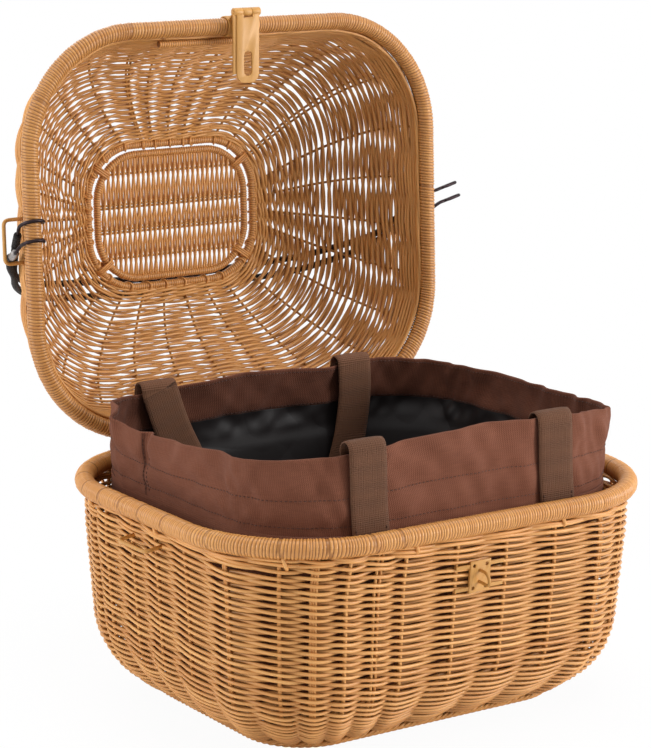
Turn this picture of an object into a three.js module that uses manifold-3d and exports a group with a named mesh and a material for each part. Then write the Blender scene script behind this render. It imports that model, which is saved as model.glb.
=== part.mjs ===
// Luggage basket for a scooter's rack: a woven tub with a hinged woven lid, a hasp, an elastic
// strap round the lid and a fabric bag inside. Millimetres, +Z up, the front is -Y, and the
// origin is the middle of the underside. The lid stands open.

import * as THREE from 'three';
import Module from 'manifold-3d';
import { LoftGeometry } from 'three/addons/geometries/LoftGeometry.js';
import { mergeVertices } from 'three/addons/utils/BufferGeometryUtils.js';

const wasm = await Module();
wasm.setup();

// Clearances
const seatGap = 0.3;
const rubGap = 0.4;

// Base rim, on its centre line
const rimHeight = 175.5;
const rimHalfWidth = 200;
const rimHalfDepth = 165.2;
const rimCorner = 102;
const rimRadius = 8;

// Woven tub: its outer face leans in, then turns under in a part of an ellipse
const tubInset = 3.7;
const tubLean = 0.072;
const tubTurnHeight = 71.5;
const tubTurnIn = 82.3;
const tubTurnPast = 4.1;
const tubCorner = 81;
const tubCornerShrink = 0.54;
const tubCornerWiden = 6;
const tubCornerRun = 40;
const tubWall = 7;
const tubFloor = 6.5;
const tubStraight = rimHeight - tubTurnHeight;
const tubTurnDown = tubTurnHeight + tubTurnPast;
const borderRadius = 3;

// Weave of tub and lid: its faces stand out over each stake and fall back between two
const stakesPerHalf = 16;
const stakeShare = 3;
const weaveRelief = 1.8;

// Lid, seen closed: its rim lies flat above the base rim
const lidRise = 18.5;
const lidHalfWidth = 197.35;
const lidHalfDepth = 165.2;
const lidCorner = 97.5;
const lidRimRadius = 7.3;
const lidInset = 3.4;
const lidLean = 0.1;
const lidStraight = 13;
const lidWall = 5.5;
const lidOpenAngle = 92.9;

// Crown ring in the top of the lid, and the loose woven panel inside it
const crownHalfWidth = 84.2;
const crownHalfDepth = 61.8;
const crownCorner = 46.4;
const crownHeight = 109.1;
const crownRadius = 3.5;
const panelHalfWidth = 75;
const panelHalfDepth = 53.9;
const panelCorner = 40;
const panelRingRadius = 3.4;
const panelThickness = 4;
const tieRadius = 1.1;
const tieAngle = 38;

// Hinges: steel straps round both rims, in which the lid rim turns
const hingeSet = 0.8;
const hingeY = rimHalfDepth + hingeSet;
const hingeSpread = 84;
const hingeWidth = 22;
const strapGauge = 1.2;
const hingeNeck = 6;

// Hasp on the lid and staple plate on the tub, a little right of the middle
const lockX = 2.5;
const barrelForward = 12.1;
const barrelDrop = 15;
const barrelRadius = 3.5;
const barrelWidth = 25.2;
const middleKnuckle = 8;
const pinRadius = 1.2;
const pinPlay = 0.25;
const haspWidth = 21.6;
const haspLength = 58.5;
const haspGauge = 1.6;
const haspSlotWidth = 8;
const haspSlotTop = 32;
const haspSlotLength = 20.8;
const haspTipRadius = 9;
const haspLipWidth = 4;
const plateWidth = 20;
const plateHeight = 25.5;
const plateGauge = 1.4;
const plateDepth = 42.4;
const plateRidge = 7.5;
const plateTabLength = 13;
const plateTabHeight = 3;
const plateTabRise = 9;
const plateHoleRadius = 1.5;
const stapleRadius = 1.3;
const stapleHalfHeight = 4.6;
const stapleReach = 11.7;

// Wire loops on the sides of tub and lid
const loopRadius = 1.6;
const loopBend = 5;
const baseLoopSpan = 40;
const baseLoopReach = 13.5;
const baseLoopDroop = 2.5;
const baseLoopY = 4;
const baseLoopDrop = 23.5;
const lidLoopSpan = 36;
const lidLoopReach = 16;
const lidLoopY = 0.9;
const lidLoopRise = 31;

// Wrapped rod inside the front of the lid
const gripRadius = 3;
const gripStart = -70;
const gripEnd = 16;
const gripRise = 7;

// Elastic luggage strap: two cords over the lid, each with a sleeve and a hook at both ends
const cordRadius = 3;
const cordLift = 0.8;
const sleeveRadius = 3.4;
const hookRadius = 1.5;
const hookPlay = 0.2;

// Bag: canvas outside, lining inside, a free-standing collar and two webbing handles
const bagEase = 3;
const bagWall = 2.4;
const liningWall = 1.2;
const bagSplit = 4;
const collarHeight = 62;
const collarInsetX = 22;
const collarInsetY = 21.2;
const collarCorner = 66;
const webbingWidth = 33;
const webbingGauge = 1.8;
const frontHandleX = 89;
const frontHandleMid = -6;
const rearHandleX = 95;
const rearHandleMid = -1;
const handleDrop = 130;
const handleTail = 34;

// Fineness
const cornerSteps = 8;
const rimSides = 10;
const ringSides = 8;
const wireSides = 8;
const hookSides = 6;
const eyeSides = 24;
const turnSteps = 6;
const bagTurnSteps = 4;

const rad = THREE.MathUtils.degToRad;
const v3 = (x, y, z) => new THREE.Vector3(x, y, z);

const root = new THREE.Group();
const lid = new THREE.Group();
const lidTurn = new THREE.Group();
const hasp = new THREE.Group();

// The lid's own frame has its origin in the middle of the lid rim, and is turned at the hinge
lidTurn.position.set(0, hingeY, rimHeight + lidRise);
lidTurn.rotation.x = -rad(lidOpenAngle);
lid.position.y = -lidHalfDepth;
lidTurn.add(lid);
root.add(lidTurn);

// Materials
const finish = (color, roughness, metalness = 0) =>
  () => new THREE.MeshStandardMaterial({ color, roughness, metalness });
const cane = finish(0xd9a56b, 0.45);
const caneInside = finish(0xb47a47, 0.5);
const tanPaint = finish(0xdcb06c, 0.35, 0.1);
const darkSteel = finish(0x35302f, 0.35, 0.6);
const blackRubber = finish(0x17161a, 0.6);
const canvas = finish(0x7b5445, 0.85);
const liningCloth = finish(0x1d1a1b, 0.4);
const webbing = finish(0x6b5546, 0.8);

// Solids: a geometry becomes a closed solid, and a solid a geometry again
function solidOf(geometry) {
  const bare = new THREE.BufferGeometry();
  bare.setAttribute('position', geometry.getAttribute('position'));
  bare.setIndex(geometry.getIndex());
  const merged = mergeVertices(bare, 1e-4);
  const index = merged.index.array;
  const kept = [];
  for (let i = 0; i < index.length; i += 3) {
    const [a, b, c] = [index[i], index[i + 1], index[i + 2]];
    if (a !== b && b !== c && c !== a) kept.push(a, b, c);
  }
  const mesh = new wasm.Mesh({
    numProp: 3,
    vertProperties: new Float32Array(merged.attributes.position.array),
    triVerts: new Uint32Array(kept),
  });
  return new wasm.Manifold(mesh);
}

function geometryOf(solid) {
  const mesh = solid.getMesh();
  const geometry = new THREE.BufferGeometry();
  geometry.setAttribute('position', new THREE.BufferAttribute(mesh.vertProperties, 3));
  geometry.setIndex(new THREE.BufferAttribute(mesh.triVerts, 1));
  geometry.computeVertexNormals();
  return geometry;
}

const join = (first, ...others) => others.reduce((sum, next) => sum.add(next), first);
const cut = (first, ...others) => others.reduce((rest, next) => rest.subtract(next), first);

function place(parent, name, shape, material) {
  const geometry = shape.isBufferGeometry ? shape : geometryOf(shape);
  const mesh = new THREE.Mesh(geometry, material());
  mesh.name = name;
  parent.add(mesh);
  return mesh;
}

// A rounded rectangle in the plane z, counter-clockwise seen from above
function outline(halfX, halfY, corner, z, centreX = 0, centreY = 0) {
  const r = Math.min(corner, halfX - 1, halfY - 1);
  const points = [];
  const centres = [[1, 1, 0], [-1, 1, 90], [-1, -1, 180], [1, -1, 270]];
  for (const [sx, sy, start] of centres) {
    for (let i = 0; i <= cornerSteps; i++) {
      const a = rad(start + 90 * i / cornerSteps);
      const x = sx * (halfX - r) + r * Math.cos(a);
      const y = sy * (halfY - r) + r * Math.sin(a);
      points.push(v3(centreX + x, centreY + y, z));
    }
  }
  return points;
}

// The same outline from the middle of the front, with a face that falls back between the stakes
function wovenOutline(halfX, halfY, corner, z, relief) {
  const [x, y] = [halfX - corner, halfY - corner];
  const half = new THREE.Path().moveTo(0, -halfY);
  half.lineTo(x, -halfY);
  half.absarc(x, -y, corner, -Math.PI / 2, 0, false);
  half.lineTo(halfX, y);
  half.absarc(x, y, corner, 0, Math.PI / 2, false);
  half.lineTo(0, halfY);
  const steps = stakeShare * stakesPerHalf;
  const right = [];
  for (let i = 0; i <= steps; i++) {
    const spot = half.getPoint(i / steps);
    const ahead = half.getTangent(i / steps);
    const back = i % stakeShare === 0 ? relief : 0;
    right.push(v3(spot.x - ahead.y * back, spot.y + ahead.x * back, z));
  }
  const left = right.slice(1, -1).reverse().map((p) => v3(-p.x, p.y, p.z));
  return [...right, ...left];
}

// A round tube bent into a rounded rectangle that lies flat
function ringTube(halfX, halfY, corner, radius, sides) {
  const sections = [];
  for (let j = 0; j <= sides; j++) {
    const a = 2 * Math.PI * (j % sides) / sides;
    const out = radius * Math.cos(a);
    sections.push(outline(halfX + out, halfY + out, corner + out, radius * Math.sin(a)));
  }
  return solidOf(new LoftGeometry(sections));
}

// A cup: sections stacked from the bottom up, less the hollow that other sections enclose
function shell(outer, inner) {
  const caps = { capStart: true, capEnd: true };
  const mouth = inner[inner.length - 1].map((p) => p.clone().setZ(p.z + 1));
  const hollow = solidOf(new LoftGeometry([...inner, mouth], caps));
  return solidOf(new LoftGeometry(outer, caps)).subtract(hollow);
}

// A tube along a smooth curve or a path of lines and bends
function wire(curve, radius, steps, sides = wireSides) {
  const section = new THREE.Shape();
  for (let i = 0; i < sides; i++) {
    const a = 2 * Math.PI * i / sides;
    const [x, y] = [radius * Math.cos(a), radius * Math.sin(a)];
    if (i === 0) section.moveTo(x, y);
    else section.lineTo(x, y);
  }
  section.closePath();
  const settings = { steps, extrudePath: curve, bevelEnabled: false };
  return solidOf(new THREE.ExtrudeGeometry(section, settings));
}

const smooth = (points) => new THREE.CatmullRomCurve3(points.map((p) => v3(...p)), false, 'centripetal');

// A path of straight runs whose corners are rounded with quarter bends
function bentPath(points, bend) {
  const path = new THREE.CurvePath();
  const p = points.map((q) => v3(...q));
  let from = p[0];
  for (let i = 1; i < p.length - 1; i++) {
    const back = p[i - 1].clone().sub(p[i]).setLength(bend).add(p[i]);
    const on = p[i + 1].clone().sub(p[i]).setLength(bend).add(p[i]);
    path.add(new THREE.LineCurve3(from, back));
    path.add(new THREE.QuadraticBezierCurve3(back, p[i], on));
    from = on;
  }
  path.add(new THREE.LineCurve3(from, p[p.length - 1]));
  return path;
}

const box = (x, y, z, at = [0, 0, 0]) => solidOf(new THREE.BoxGeometry(x, y, z)).translate(at);

// A round bar along X
function barX(radius, length, at = [0, 0, 0], sides = 20) {
  const bar = new THREE.CylinderGeometry(radius, radius, length, sides);
  bar.rotateZ(Math.PI / 2);
  return solidOf(bar).translate(at);
}

// Tub profile: the inset of a face that lies a given depth inside the outer face
const rimDepthOf = (z) => rimHeight - z;
function tubRingAt(z, inside) {
  const depth = rimDepthOf(z);
  const turnIn = tubTurnIn - inside;
  const turnDown = tubTurnDown - inside;
  let inset = tubInset + tubLean * Math.min(depth, tubStraight) + inside;
  if (depth > tubStraight) {
    const sine = Math.min(1, (depth - tubStraight) / turnDown);
    inset += turnIn * (1 - Math.sqrt(1 - sine * sine));
  }
  return inset;
}

// Corners are tighter than the rim's, and widen towards it over the last stretch
function tubCornerAt(z, inset) {
  const widen = Math.min(1, Math.max(0, 1 - rimDepthOf(z) / tubCornerRun));
  return tubCorner - tubCornerShrink * inset + tubCornerWiden * widen;
}

// Ring of the tub at height z, with a face some way inside the outer one
function tubRing(z, inside) {
  const inset = tubRingAt(z, inside);
  return outline(rimHalfWidth - inset, rimHalfDepth - inset, tubCornerAt(z, inset), z);
}

// Ring of the tub's outer face; the weave is level with it where it meets the border
function wovenTubRing(z, relief) {
  const inset = tubRingAt(z, 0);
  return wovenOutline(rimHalfWidth - inset, rimHalfDepth - inset, tubCornerAt(z, inset), z, relief);
}

// Heights from the floor to the top, closer together where the wall turns under
function tubHeights(low, high, inside, steps) {
  const turnTop = rimHeight - tubStraight;
  const reach = tubTurnDown - inside;
  const first = Math.asin(Math.min(1, (turnTop - low) / reach));
  const heights = [];
  for (let i = 0; i <= steps; i++) {
    heights.push(turnTop - reach * Math.sin(first * (1 - i / steps)));
  }
  heights[0] = low;
  heights.push(high);
  return heights;
}

// Base rim: a wrapped tube
place(root, 'base_rim', ringTube(rimHalfWidth, rimHalfDepth, rimCorner, rimRadius, rimSides)
  .translate([0, 0, rimHeight]), cane);

// Braided border under the edge of the floor; its centre lies on the outer face
const borderInset = tubRingAt(borderRadius, 0);
const borderCorner = tubCornerAt(borderRadius, borderInset);
place(root, 'bottom_border', ringTube(rimHalfWidth - borderInset, rimHalfDepth - borderInset,
  borderCorner, borderRadius, ringSides).translate([0, 0, borderRadius]), cane);

// Tub wall and floor, one woven shell; its foot is stepped over the border
const tubTop = rimHeight - rimRadius - seatGap;
const stepHeight = 2 * borderRadius + seatGap;
const footInset = borderInset + borderRadius + seatGap;
const footCorner = tubCornerAt(0, footInset);
const foot = (z) => wovenOutline(rimHalfWidth - footInset, rimHalfDepth - footInset, footCorner, z, 0);
const tubOutside = tubHeights(stepHeight, tubTop, 0, turnSteps)
  .map((z, i) => wovenTubRing(z, i === 0 ? 0 : weaveRelief));
const tubInside = tubHeights(tubFloor, tubTop, tubWall, turnSteps).map((z) => tubRing(z, tubWall));
const tubShell = shell([foot(0), foot(stepHeight), ...tubOutside], tubInside);
const hingeRelief = (x) => barX(rimRadius + strapGauge + 2 * seatGap, hingeWidth + 2 * seatGap,
  [x, rimHalfDepth, rimHeight]);
place(root, 'base_wall', cut(tubShell, hingeRelief(-hingeSpread), hingeRelief(hingeSpread)), cane);

// Lid profile: inset and height of a face a given depth inside the outer one
const crownInset = lidHalfWidth - crownHalfWidth;
function lidRing(t, inside, relief) {
  const startInset = lidInset + lidLean * lidStraight + inside;
  const top = crownHeight + lidWall / 2 - inside;
  const inset = startInset + (crownInset - startInset) * (1 - Math.cos(t));
  const height = lidStraight + (top - lidStraight) * Math.sin(t);
  return lidOutline(inset, height, relief);
}

// Between rim and crown the plan changes evenly from the rim's outline to the crown's
function lidOutline(inset, height, relief = 0) {
  const k = inset / crownInset;
  return wovenOutline(
    lidHalfWidth - inset,
    lidHalfDepth - k * (lidHalfDepth - crownHalfDepth),
    lidCorner - k * (lidCorner - crownCorner),
    height,
    relief,
  );
}

// Lid rim
const lidRimSolid = ringTube(lidHalfWidth, lidHalfDepth, lidCorner, lidRimRadius, rimSides);
place(lid, 'lid_rim', lidRimSolid, cane);

// Each corner of the panel ring is tied to the crown ring with a loop of cane round both
const tieSpots = [[-1, -1], [1, -1], [-1, 1], [1, 1]].map(([sx, sy]) => {
  const out = new THREE.Vector2(Math.cos(rad(tieAngle)), Math.sin(rad(tieAngle)));
  const onRing = (halfX, halfY, corner) => new THREE.Vector2(halfX - corner, halfY - corner)
    .addScaledVector(out, corner);
  const onCrown = onRing(crownHalfWidth, crownHalfDepth, crownCorner);
  const onPanel = onRing(panelHalfWidth, panelHalfDepth, panelCorner);
  const flip = new THREE.Vector2(sx, sy);
  const across = onCrown.clone().sub(onPanel);
  return {
    mid: onCrown.clone().add(onPanel).divideScalar(2).multiply(flip),
    half: across.length() / 2,
    dir: across.normalize().multiply(flip),
  };
});
const tieBend = crownRadius + rubGap + tieRadius;
const tieNotch = ({ mid, half, dir }, side) => {
  const drill = new THREE.CylinderGeometry(tieRadius + rubGap, tieRadius + rubGap, 4 * crownRadius, 10);
  drill.rotateX(Math.PI / 2);
  const at = mid.clone().addScaledVector(dir, side * (half + tieBend));
  return solidOf(drill).translate([at.x, at.y, crownHeight]);
};

// Lid wall: out from the rim to the crown ring, and back on the inside
const lidFootRise = Math.sqrt((lidRimRadius + seatGap) ** 2 - lidInset ** 2) + 0.1;
const crownEdge = crownInset - crownRadius - seatGap - 0.3;
const edgeTurn = (inside) => {
  const startInset = lidInset + lidLean * lidStraight + inside;
  return Math.acos(1 - (crownEdge - startInset) / (crownInset - startInset));
};
const outerTurn = edgeTurn(0);
const innerTurn = edgeTurn(lidWall);
const turns = (end) => Array.from({ length: turnSteps + 1 }, (_, i) => end * i / turnSteps);
const reliefAt = (step) => (step === turnSteps ? 0 : weaveRelief);
const outerFace = turns(outerTurn).map((t, i) => lidRing(t, 0, reliefAt(i)));
const innerFace = turns(innerTurn).map((t, i) => lidRing(t, lidWall, -reliefAt(i))).reverse();
const lidFoot = lidOutline(lidInset + lidLean * lidFootRise, lidFootRise);
const lidFootInside = lidOutline(lidInset + lidLean * lidFootRise + lidWall, lidFootRise);
const lidShell = solidOf(new LoftGeometry([lidFoot, ...outerFace, ...innerFace, lidFootInside, lidFoot]));
const rimRelief = (x, y, width) => barX(lidRimRadius + strapGauge + 2 * seatGap, width + 2 * seatGap, [x, y, 0]);
place(lid, 'lid_wall', cut(
  lidShell,
  rimRelief(-hingeSpread, lidHalfDepth, hingeWidth),
  rimRelief(hingeSpread, lidHalfDepth, hingeWidth),
  rimRelief(lockX, -lidHalfDepth, barrelWidth),
  ...tieSpots.map((spot) => tieNotch(spot, 1)),
), cane);

// Crown ring, and the ring of the loose panel inside it
place(lid, 'crown_ring', ringTube(crownHalfWidth, crownHalfDepth, crownCorner, crownRadius, ringSides)
  .translate([0, 0, crownHeight]), caneInside);
place(lid, 'panel_ring', ringTube(panelHalfWidth, panelHalfDepth, panelCorner, panelRingRadius, ringSides)
  .translate([0, 0, crownHeight]), caneInside);

// Four ties of cane
function panelTie({ mid, half, dir }) {
  const side = new THREE.Vector2(-dir.y, dir.x);
  const bends = 6;
  const sections = [];
  for (let i = 0; i < 2 * bends + 2; i++) {
    const right = i <= bends;
    const a = rad(right ? 180 * i / bends - 90 : 180 * (i - bends - 1) / bends + 90);
    const ring = [];
    for (let j = 0; j < 5; j++) {
      const b = 2 * Math.PI * j / 5;
      const r = tieBend + tieRadius * Math.cos(b);
      const along = (right ? half : -half) + r * Math.cos(a);
      const aside = tieRadius * Math.sin(b);
      const x = mid.x + dir.x * along + side.x * aside;
      const y = mid.y + dir.y * along + side.y * aside;
      ring.push(v3(x, y, crownHeight + r * Math.sin(a)));
    }
    sections.push(ring);
  }
  sections.push(sections[0]);
  return new LoftGeometry(sections);
}
tieSpots.forEach((spot, i) => place(lid, `panel_tie_${i + 1}`, panelTie(spot), caneInside));

// Panel weave, notched where the ties go through it
const panelInset = panelRingRadius + seatGap;
const panelFace = (z) => outline(panelHalfWidth - panelInset, panelHalfDepth - panelInset,
  panelCorner - panelInset, crownHeight + z);
const panelSheet = solidOf(new LoftGeometry(
  [panelFace(-panelThickness / 2), panelFace(panelThickness / 2)],
  { capStart: true, capEnd: true },
));
place(lid, 'panel_weave', cut(panelSheet, ...tieSpots.map((spot) => tieNotch(spot, -1))), caneInside);

// Wrapped rod along the inside of the lid's front
const gripInset = lidInset + lidLean * gripRise + lidWall;
const gripY = gripRadius + seatGap - lidHalfDepth + gripInset * (lidHalfDepth - crownHalfDepth) / crownInset;
place(lid, 'lid_front_rod', barX(gripRadius, gripEnd - gripStart,
  [(gripStart + gripEnd) / 2, gripY, gripRise], 10), caneInside);

// Hinge straps: an eye for each rim and a neck between them; the lid rim turns in the upper eye
const lowerEye = rimRadius + seatGap;
const upperEye = lidRimRadius + seatGap;
function hingeStrap(x) {
  const low = [x, rimHalfDepth, rimHeight];
  const high = [x, hingeY, rimHeight + lidRise];
  const body = join(
    barX(lowerEye + strapGauge, hingeWidth, low, eyeSides),
    barX(upperEye + strapGauge, hingeWidth, high, eyeSides),
    box(hingeWidth, hingeNeck, lidRise, [x, (rimHalfDepth + hingeY) / 2, rimHeight + lidRise / 2]),
  );
  const bore = (r, at) => barX(r, hingeWidth + 2, at, eyeSides);
  return cut(body, bore(lowerEye, low), bore(upperEye, high));
}
place(root, 'hinge_strap_left', hingeStrap(-hingeSpread), tanPaint);
place(root, 'hinge_strap_right', hingeStrap(hingeSpread), tanPaint);

// Hasp leaf: an eye round the lid rim, an arm down to the barrel and the middle knuckle
const barrelY = -lidHalfDepth - barrelForward;
const boreRadius = pinRadius + pinPlay;
function haspLeaf() {
  const rimCentre = [lockX, -lidHalfDepth, 0];
  const arm = Math.hypot(barrelForward, barrelDrop);
  const slope = Math.atan2(barrelDrop, barrelForward);
  const armPart = (width, from, to) => box(width, to - from, strapGauge, [lockX, -(from + to) / 2, 0])
    .rotate([THREE.MathUtils.radToDeg(slope), 0, 0])
    .translate([0, -lidHalfDepth, 0]);
  const body = join(
    barX(upperEye + strapGauge, barrelWidth, rimCentre, eyeSides),
    armPart(barrelWidth, upperEye, arm - barrelRadius - rubGap),
    armPart(middleKnuckle, upperEye, arm),
    barX(barrelRadius, middleKnuckle, [lockX, barrelY, -barrelDrop], 16),
  );
  return cut(
    body,
    barX(upperEye, barrelWidth + 2, rimCentre, eyeSides),
    barX(boreRadius, barrelWidth, [lockX, barrelY, -barrelDrop], 12),
  );
}
place(lid, 'hasp_leaf', haspLeaf(), tanPaint);
place(lid, 'hasp_pin', barX(pinRadius, barrelWidth + 1, [lockX, barrelY, -barrelDrop], 12), tanPaint);

// Hasp strap: it hangs plumb from the barrel whatever the lid does
hasp.position.set(lockX, barrelY, -barrelDrop);
hasp.rotation.x = rad(lidOpenAngle);
lid.add(hasp);
function haspStrap() {
  const half = haspWidth / 2;
  const plate = new THREE.Shape();
  plate.moveTo(-half, -barrelRadius / 2);
  plate.lineTo(-half, -haspLength + haspTipRadius);
  plate.quadraticCurveTo(-half, -haspLength, -half + haspTipRadius, -haspLength);
  plate.lineTo(half - haspTipRadius, -haspLength);
  plate.quadraticCurveTo(half, -haspLength, half, -haspLength + haspTipRadius);
  plate.lineTo(half, -barrelRadius / 2);
  plate.closePath();
  const slotRadius = haspSlotWidth / 2;
  const slot = new THREE.Path();
  slot.absarc(0, -haspSlotTop - slotRadius, slotRadius, 0, Math.PI, false);
  slot.absarc(0, -haspSlotTop - haspSlotLength + slotRadius, slotRadius, Math.PI, 2 * Math.PI, false);
  slot.closePath();
  plate.holes.push(slot);
  const flat = new THREE.ExtrudeGeometry(plate, { depth: haspGauge, bevelEnabled: false, curveSegments: 8 });
  flat.rotateX(Math.PI / 2);
  flat.translate(0, haspGauge - barrelRadius, 0);
  const sideKnuckle = (barrelWidth - middleKnuckle) / 2 - rubGap;
  const sideCentre = (barrelWidth - sideKnuckle) / 2;
  const lipHeight = haspLength - haspTipRadius;
  const body = join(
    solidOf(flat),
    barX(barrelRadius, sideKnuckle, [-sideCentre, 0, 0], 16),
    barX(barrelRadius, sideKnuckle, [sideCentre, 0, 0], 16),
    box(haspLipWidth, haspGauge, lipHeight, [
      -half - haspLipWidth / 4,
      haspGauge - barrelRadius + rubGap,
      -barrelRadius / 2 - lipHeight / 2,
    ]),
  );
  return cut(
    body,
    barX(boreRadius, barrelWidth + 2, [0, 0, 0], 12),
    box(middleKnuckle + 2 * rubGap, 4 * barrelRadius, 2 * barrelRadius + 2 * rubGap + 1, [0, 0, 0]),
  );
}
place(hasp, 'hasp_strap', haspStrap(), tanPaint);

// Staple plate on the tub's front, leaning as the wall does
const plateZ = rimHeight - plateDepth;
const plateFrame = (solid) => solid
  .rotate([THREE.MathUtils.radToDeg(Math.atan(tubLean)), 0, 0])
  .translate([lockX, -rimHalfDepth + tubRingAt(plateZ, 0), plateZ]);
function lockPlate() {
  const y = -seatGap - plateGauge / 2;
  const tabs = [];
  for (const sx of [-1, 1]) {
    for (const sz of [-1, 1]) {
      const x = sx * (plateWidth + plateTabLength) / 2;
      tabs.push(box(plateTabLength + 1, plateGauge, plateTabHeight, [x - sx / 2, y, sz * plateTabRise]));
    }
  }
  const ridgeX = (plateRidge - plateWidth) / 2;
  const ridge = box(plateRidge, plateGauge, plateHeight, [ridgeX, y - plateGauge / 2, 0]);
  const holes = [];
  for (const sx of [-1, 1]) {
    for (const sz of [-1, 1]) {
      const drill = new THREE.CylinderGeometry(plateHoleRadius, plateHoleRadius, 6 * plateGauge, 10);
      const at = [sx * (plateWidth / 2 - 2.5 * plateHoleRadius), y, sz * (plateHeight / 2 - 2.5 * plateHoleRadius)];
      holes.push(solidOf(drill).translate(at));
    }
  }
  return cut(join(box(plateWidth, plateGauge, plateHeight, [0, y, 0]), ridge, ...tabs), ...holes);
}
place(root, 'lock_plate', plateFrame(lockPlate()), tanPaint);

// D-shaped wire staple that the hasp's slot goes over
const stapleFoot = -seatGap - plateGauge - 0.1;
const staplePath = smooth([
  [0, stapleFoot, stapleHalfHeight],
  [0, stapleFoot - 0.3 * stapleReach, stapleHalfHeight],
  [0, stapleFoot - 0.65 * stapleReach, 0.9 * stapleHalfHeight],
  [0, stapleFoot - 0.96 * stapleReach, 0.2 * stapleHalfHeight],
  [0, stapleFoot - stapleReach, -0.6 * stapleHalfHeight],
  [0, stapleFoot - 0.85 * stapleReach, -stapleHalfHeight],
  [0, stapleFoot - 0.4 * stapleReach, -stapleHalfHeight],
  [0, stapleFoot, -stapleHalfHeight],
]);
place(root, 'lock_staple', plateFrame(wire(staplePath, stapleRadius, 16)), tanPaint);

// Wire loops: two legs out of the weave and a bar between them
function sideLoop(side, faceX, y, z, span, reach, droop) {
  const inX = faceX + seatGap;
  const outX = faceX + reach;
  const half = span / 2;
  return wire(bentPath([
    [side * inX, y - half, z],
    [side * outX, y - half, z - droop],
    [side * outX, y + half, z - droop],
    [side * inX, y + half, z],
  ], loopBend), loopRadius, 18);
}
const baseLoopZ = rimHeight - baseLoopDrop;
const baseLoopFace = rimHalfWidth - tubRingAt(baseLoopZ, 0);
const lidFaceAt = (rise) => {
  const startInset = lidInset + lidLean * lidStraight;
  const top = crownHeight + lidWall / 2;
  const sine = Math.max(0, (rise - lidStraight) / (top - lidStraight));
  return lidHalfWidth - startInset - (crownInset - startInset) * (1 - Math.sqrt(1 - sine * sine));
};
for (const [side, word] of [[-1, 'left'], [1, 'right']]) {
  place(root, `base_loop_${word}`,
    sideLoop(side, baseLoopFace, baseLoopY, baseLoopZ, baseLoopSpan, baseLoopReach, baseLoopDroop), tanPaint);
  place(lid, `lid_loop_${word}`,
    sideLoop(side, lidFaceAt(lidLoopRise), lidLoopY, lidLoopRise, lidLoopSpan, lidLoopReach, 0), tanPaint);
}

// A point at a height above the lid's outer face, where the strap's cord is at this y
function overLid(side, height, y) {
  const off = cordRadius + cordLift;
  const startInset = lidInset + lidLean * lidStraight - off;
  const top = crownHeight + lidWall / 2 + off;
  const sine = Math.min(1, (height - lidStraight) / (top - lidStraight));
  const inset = startInset + (crownInset - startInset) * (1 - Math.sqrt(1 - sine * sine));
  const k = inset / crownInset;
  const corner = lidCorner - k * (lidCorner - crownCorner);
  const straightY = lidHalfDepth - k * (lidHalfDepth - crownHalfDepth) - corner;
  const turn = Math.max(0, y - straightY);
  return [side * (lidHalfWidth - inset - corner + Math.sqrt(corner ** 2 - turn ** 2)), y, height];
}

// Cords, from the sleeve on the left to the one on the right; heights and y read off the photo,
// and x measured outward from the lid rim but for the top, where it's a share of the crown's
const fromRim = (side) => ([x, y, z]) => v3(side * (lidHalfWidth + x), y, z);
const topRise = crownHeight + crownRadius + cordRadius + seatGap;
const cordRoutes = {
  front: {
    sleeve: [[2.25, 5.5, 26.5], [6.75, -7, 12.5]],
    loose: [[-2.75, 12.5, 37], [-6.45, 19, 45]],
    climb: [[54, 26], [66, 33], [78, 38], [90, 43], [100, 47.5], [108, 51]],
    top: [[-0.736, 55], [-0.238, 57], [0.238, 57], [0.736, 55]],
  },
  rear: {
    sleeve: [[5.65, 12.6, 26], [8.95, 8, 13.5]],
    loose: [[4.05, 13.6, 33], [2.05, 16.8, 37.5], [-1.75, 24, 44.5]],
    climb: [[54, 33], [66, 41], [78, 47.5], [90, 53.5], [100, 59], [108, 63.5]],
    top: [[-0.736, 67.5], [-0.238, 69], [0.238, 69], [0.736, 67.5]],
  },
};

// Hooks: a bend from a start point, in the plane of two directions at right angles
function bend(start, along, over, radius, degrees, count) {
  const centre = start.clone().addScaledVector(over, radius);
  return Array.from({ length: count }, (_, i) => {
    const a = rad(degrees * (i + 1) / count);
    return centre.clone()
      .addScaledVector(over, -radius * Math.cos(a))
      .addScaledVector(along, radius * Math.sin(a));
  });
}
const clip = lidRimRadius + hookRadius + hookPlay;
const onRim = (degrees, y) => v3(-lidHalfWidth + clip * Math.cos(rad(degrees)), y, clip * Math.sin(rad(degrees)));

// On the left the hooks grip the lid rim; on the right they stand out free
function leftHook(from, curl) {
  const y = from.y;
  return [
    from,
    v3(-lidHalfWidth - clip, y - 5, 5),
    onRim(200, y - 8.5),
    onRim(235, y - 10),
    onRim(270, y - 10.5),
    onRim(305, y - 10),
    onRim(338, y - 8.5),
    ...curl.map(([degrees, back]) => onRim(degrees, y - back)),
  ];
}
function rightHook(from, shank, tail) {
  const along = v3(0.97, -0.243, 0);
  const over = v3(-0.07, -0.28, -0.957);
  const points = [from, fromRim(1)(shank)];
  const start = points[1].clone().addScaledVector(along, 5);
  points.push(start, ...bend(start, along, over, clip, 180, 6));
  points.push(points[points.length - 1].clone().addScaledVector(along, -tail));
  return points;
}
const hookShapes = {
  front: [(p) => leftHook(p, [[365, 7]]), (p) => rightHook(p, [16.65, -11.1, 8], 10)],
  rear: [(p) => leftHook(p, [[362, 9.5], [388, 6.5]]), (p) => rightHook(p, [20.65, 0.4, 8], 11)],
};
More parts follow.
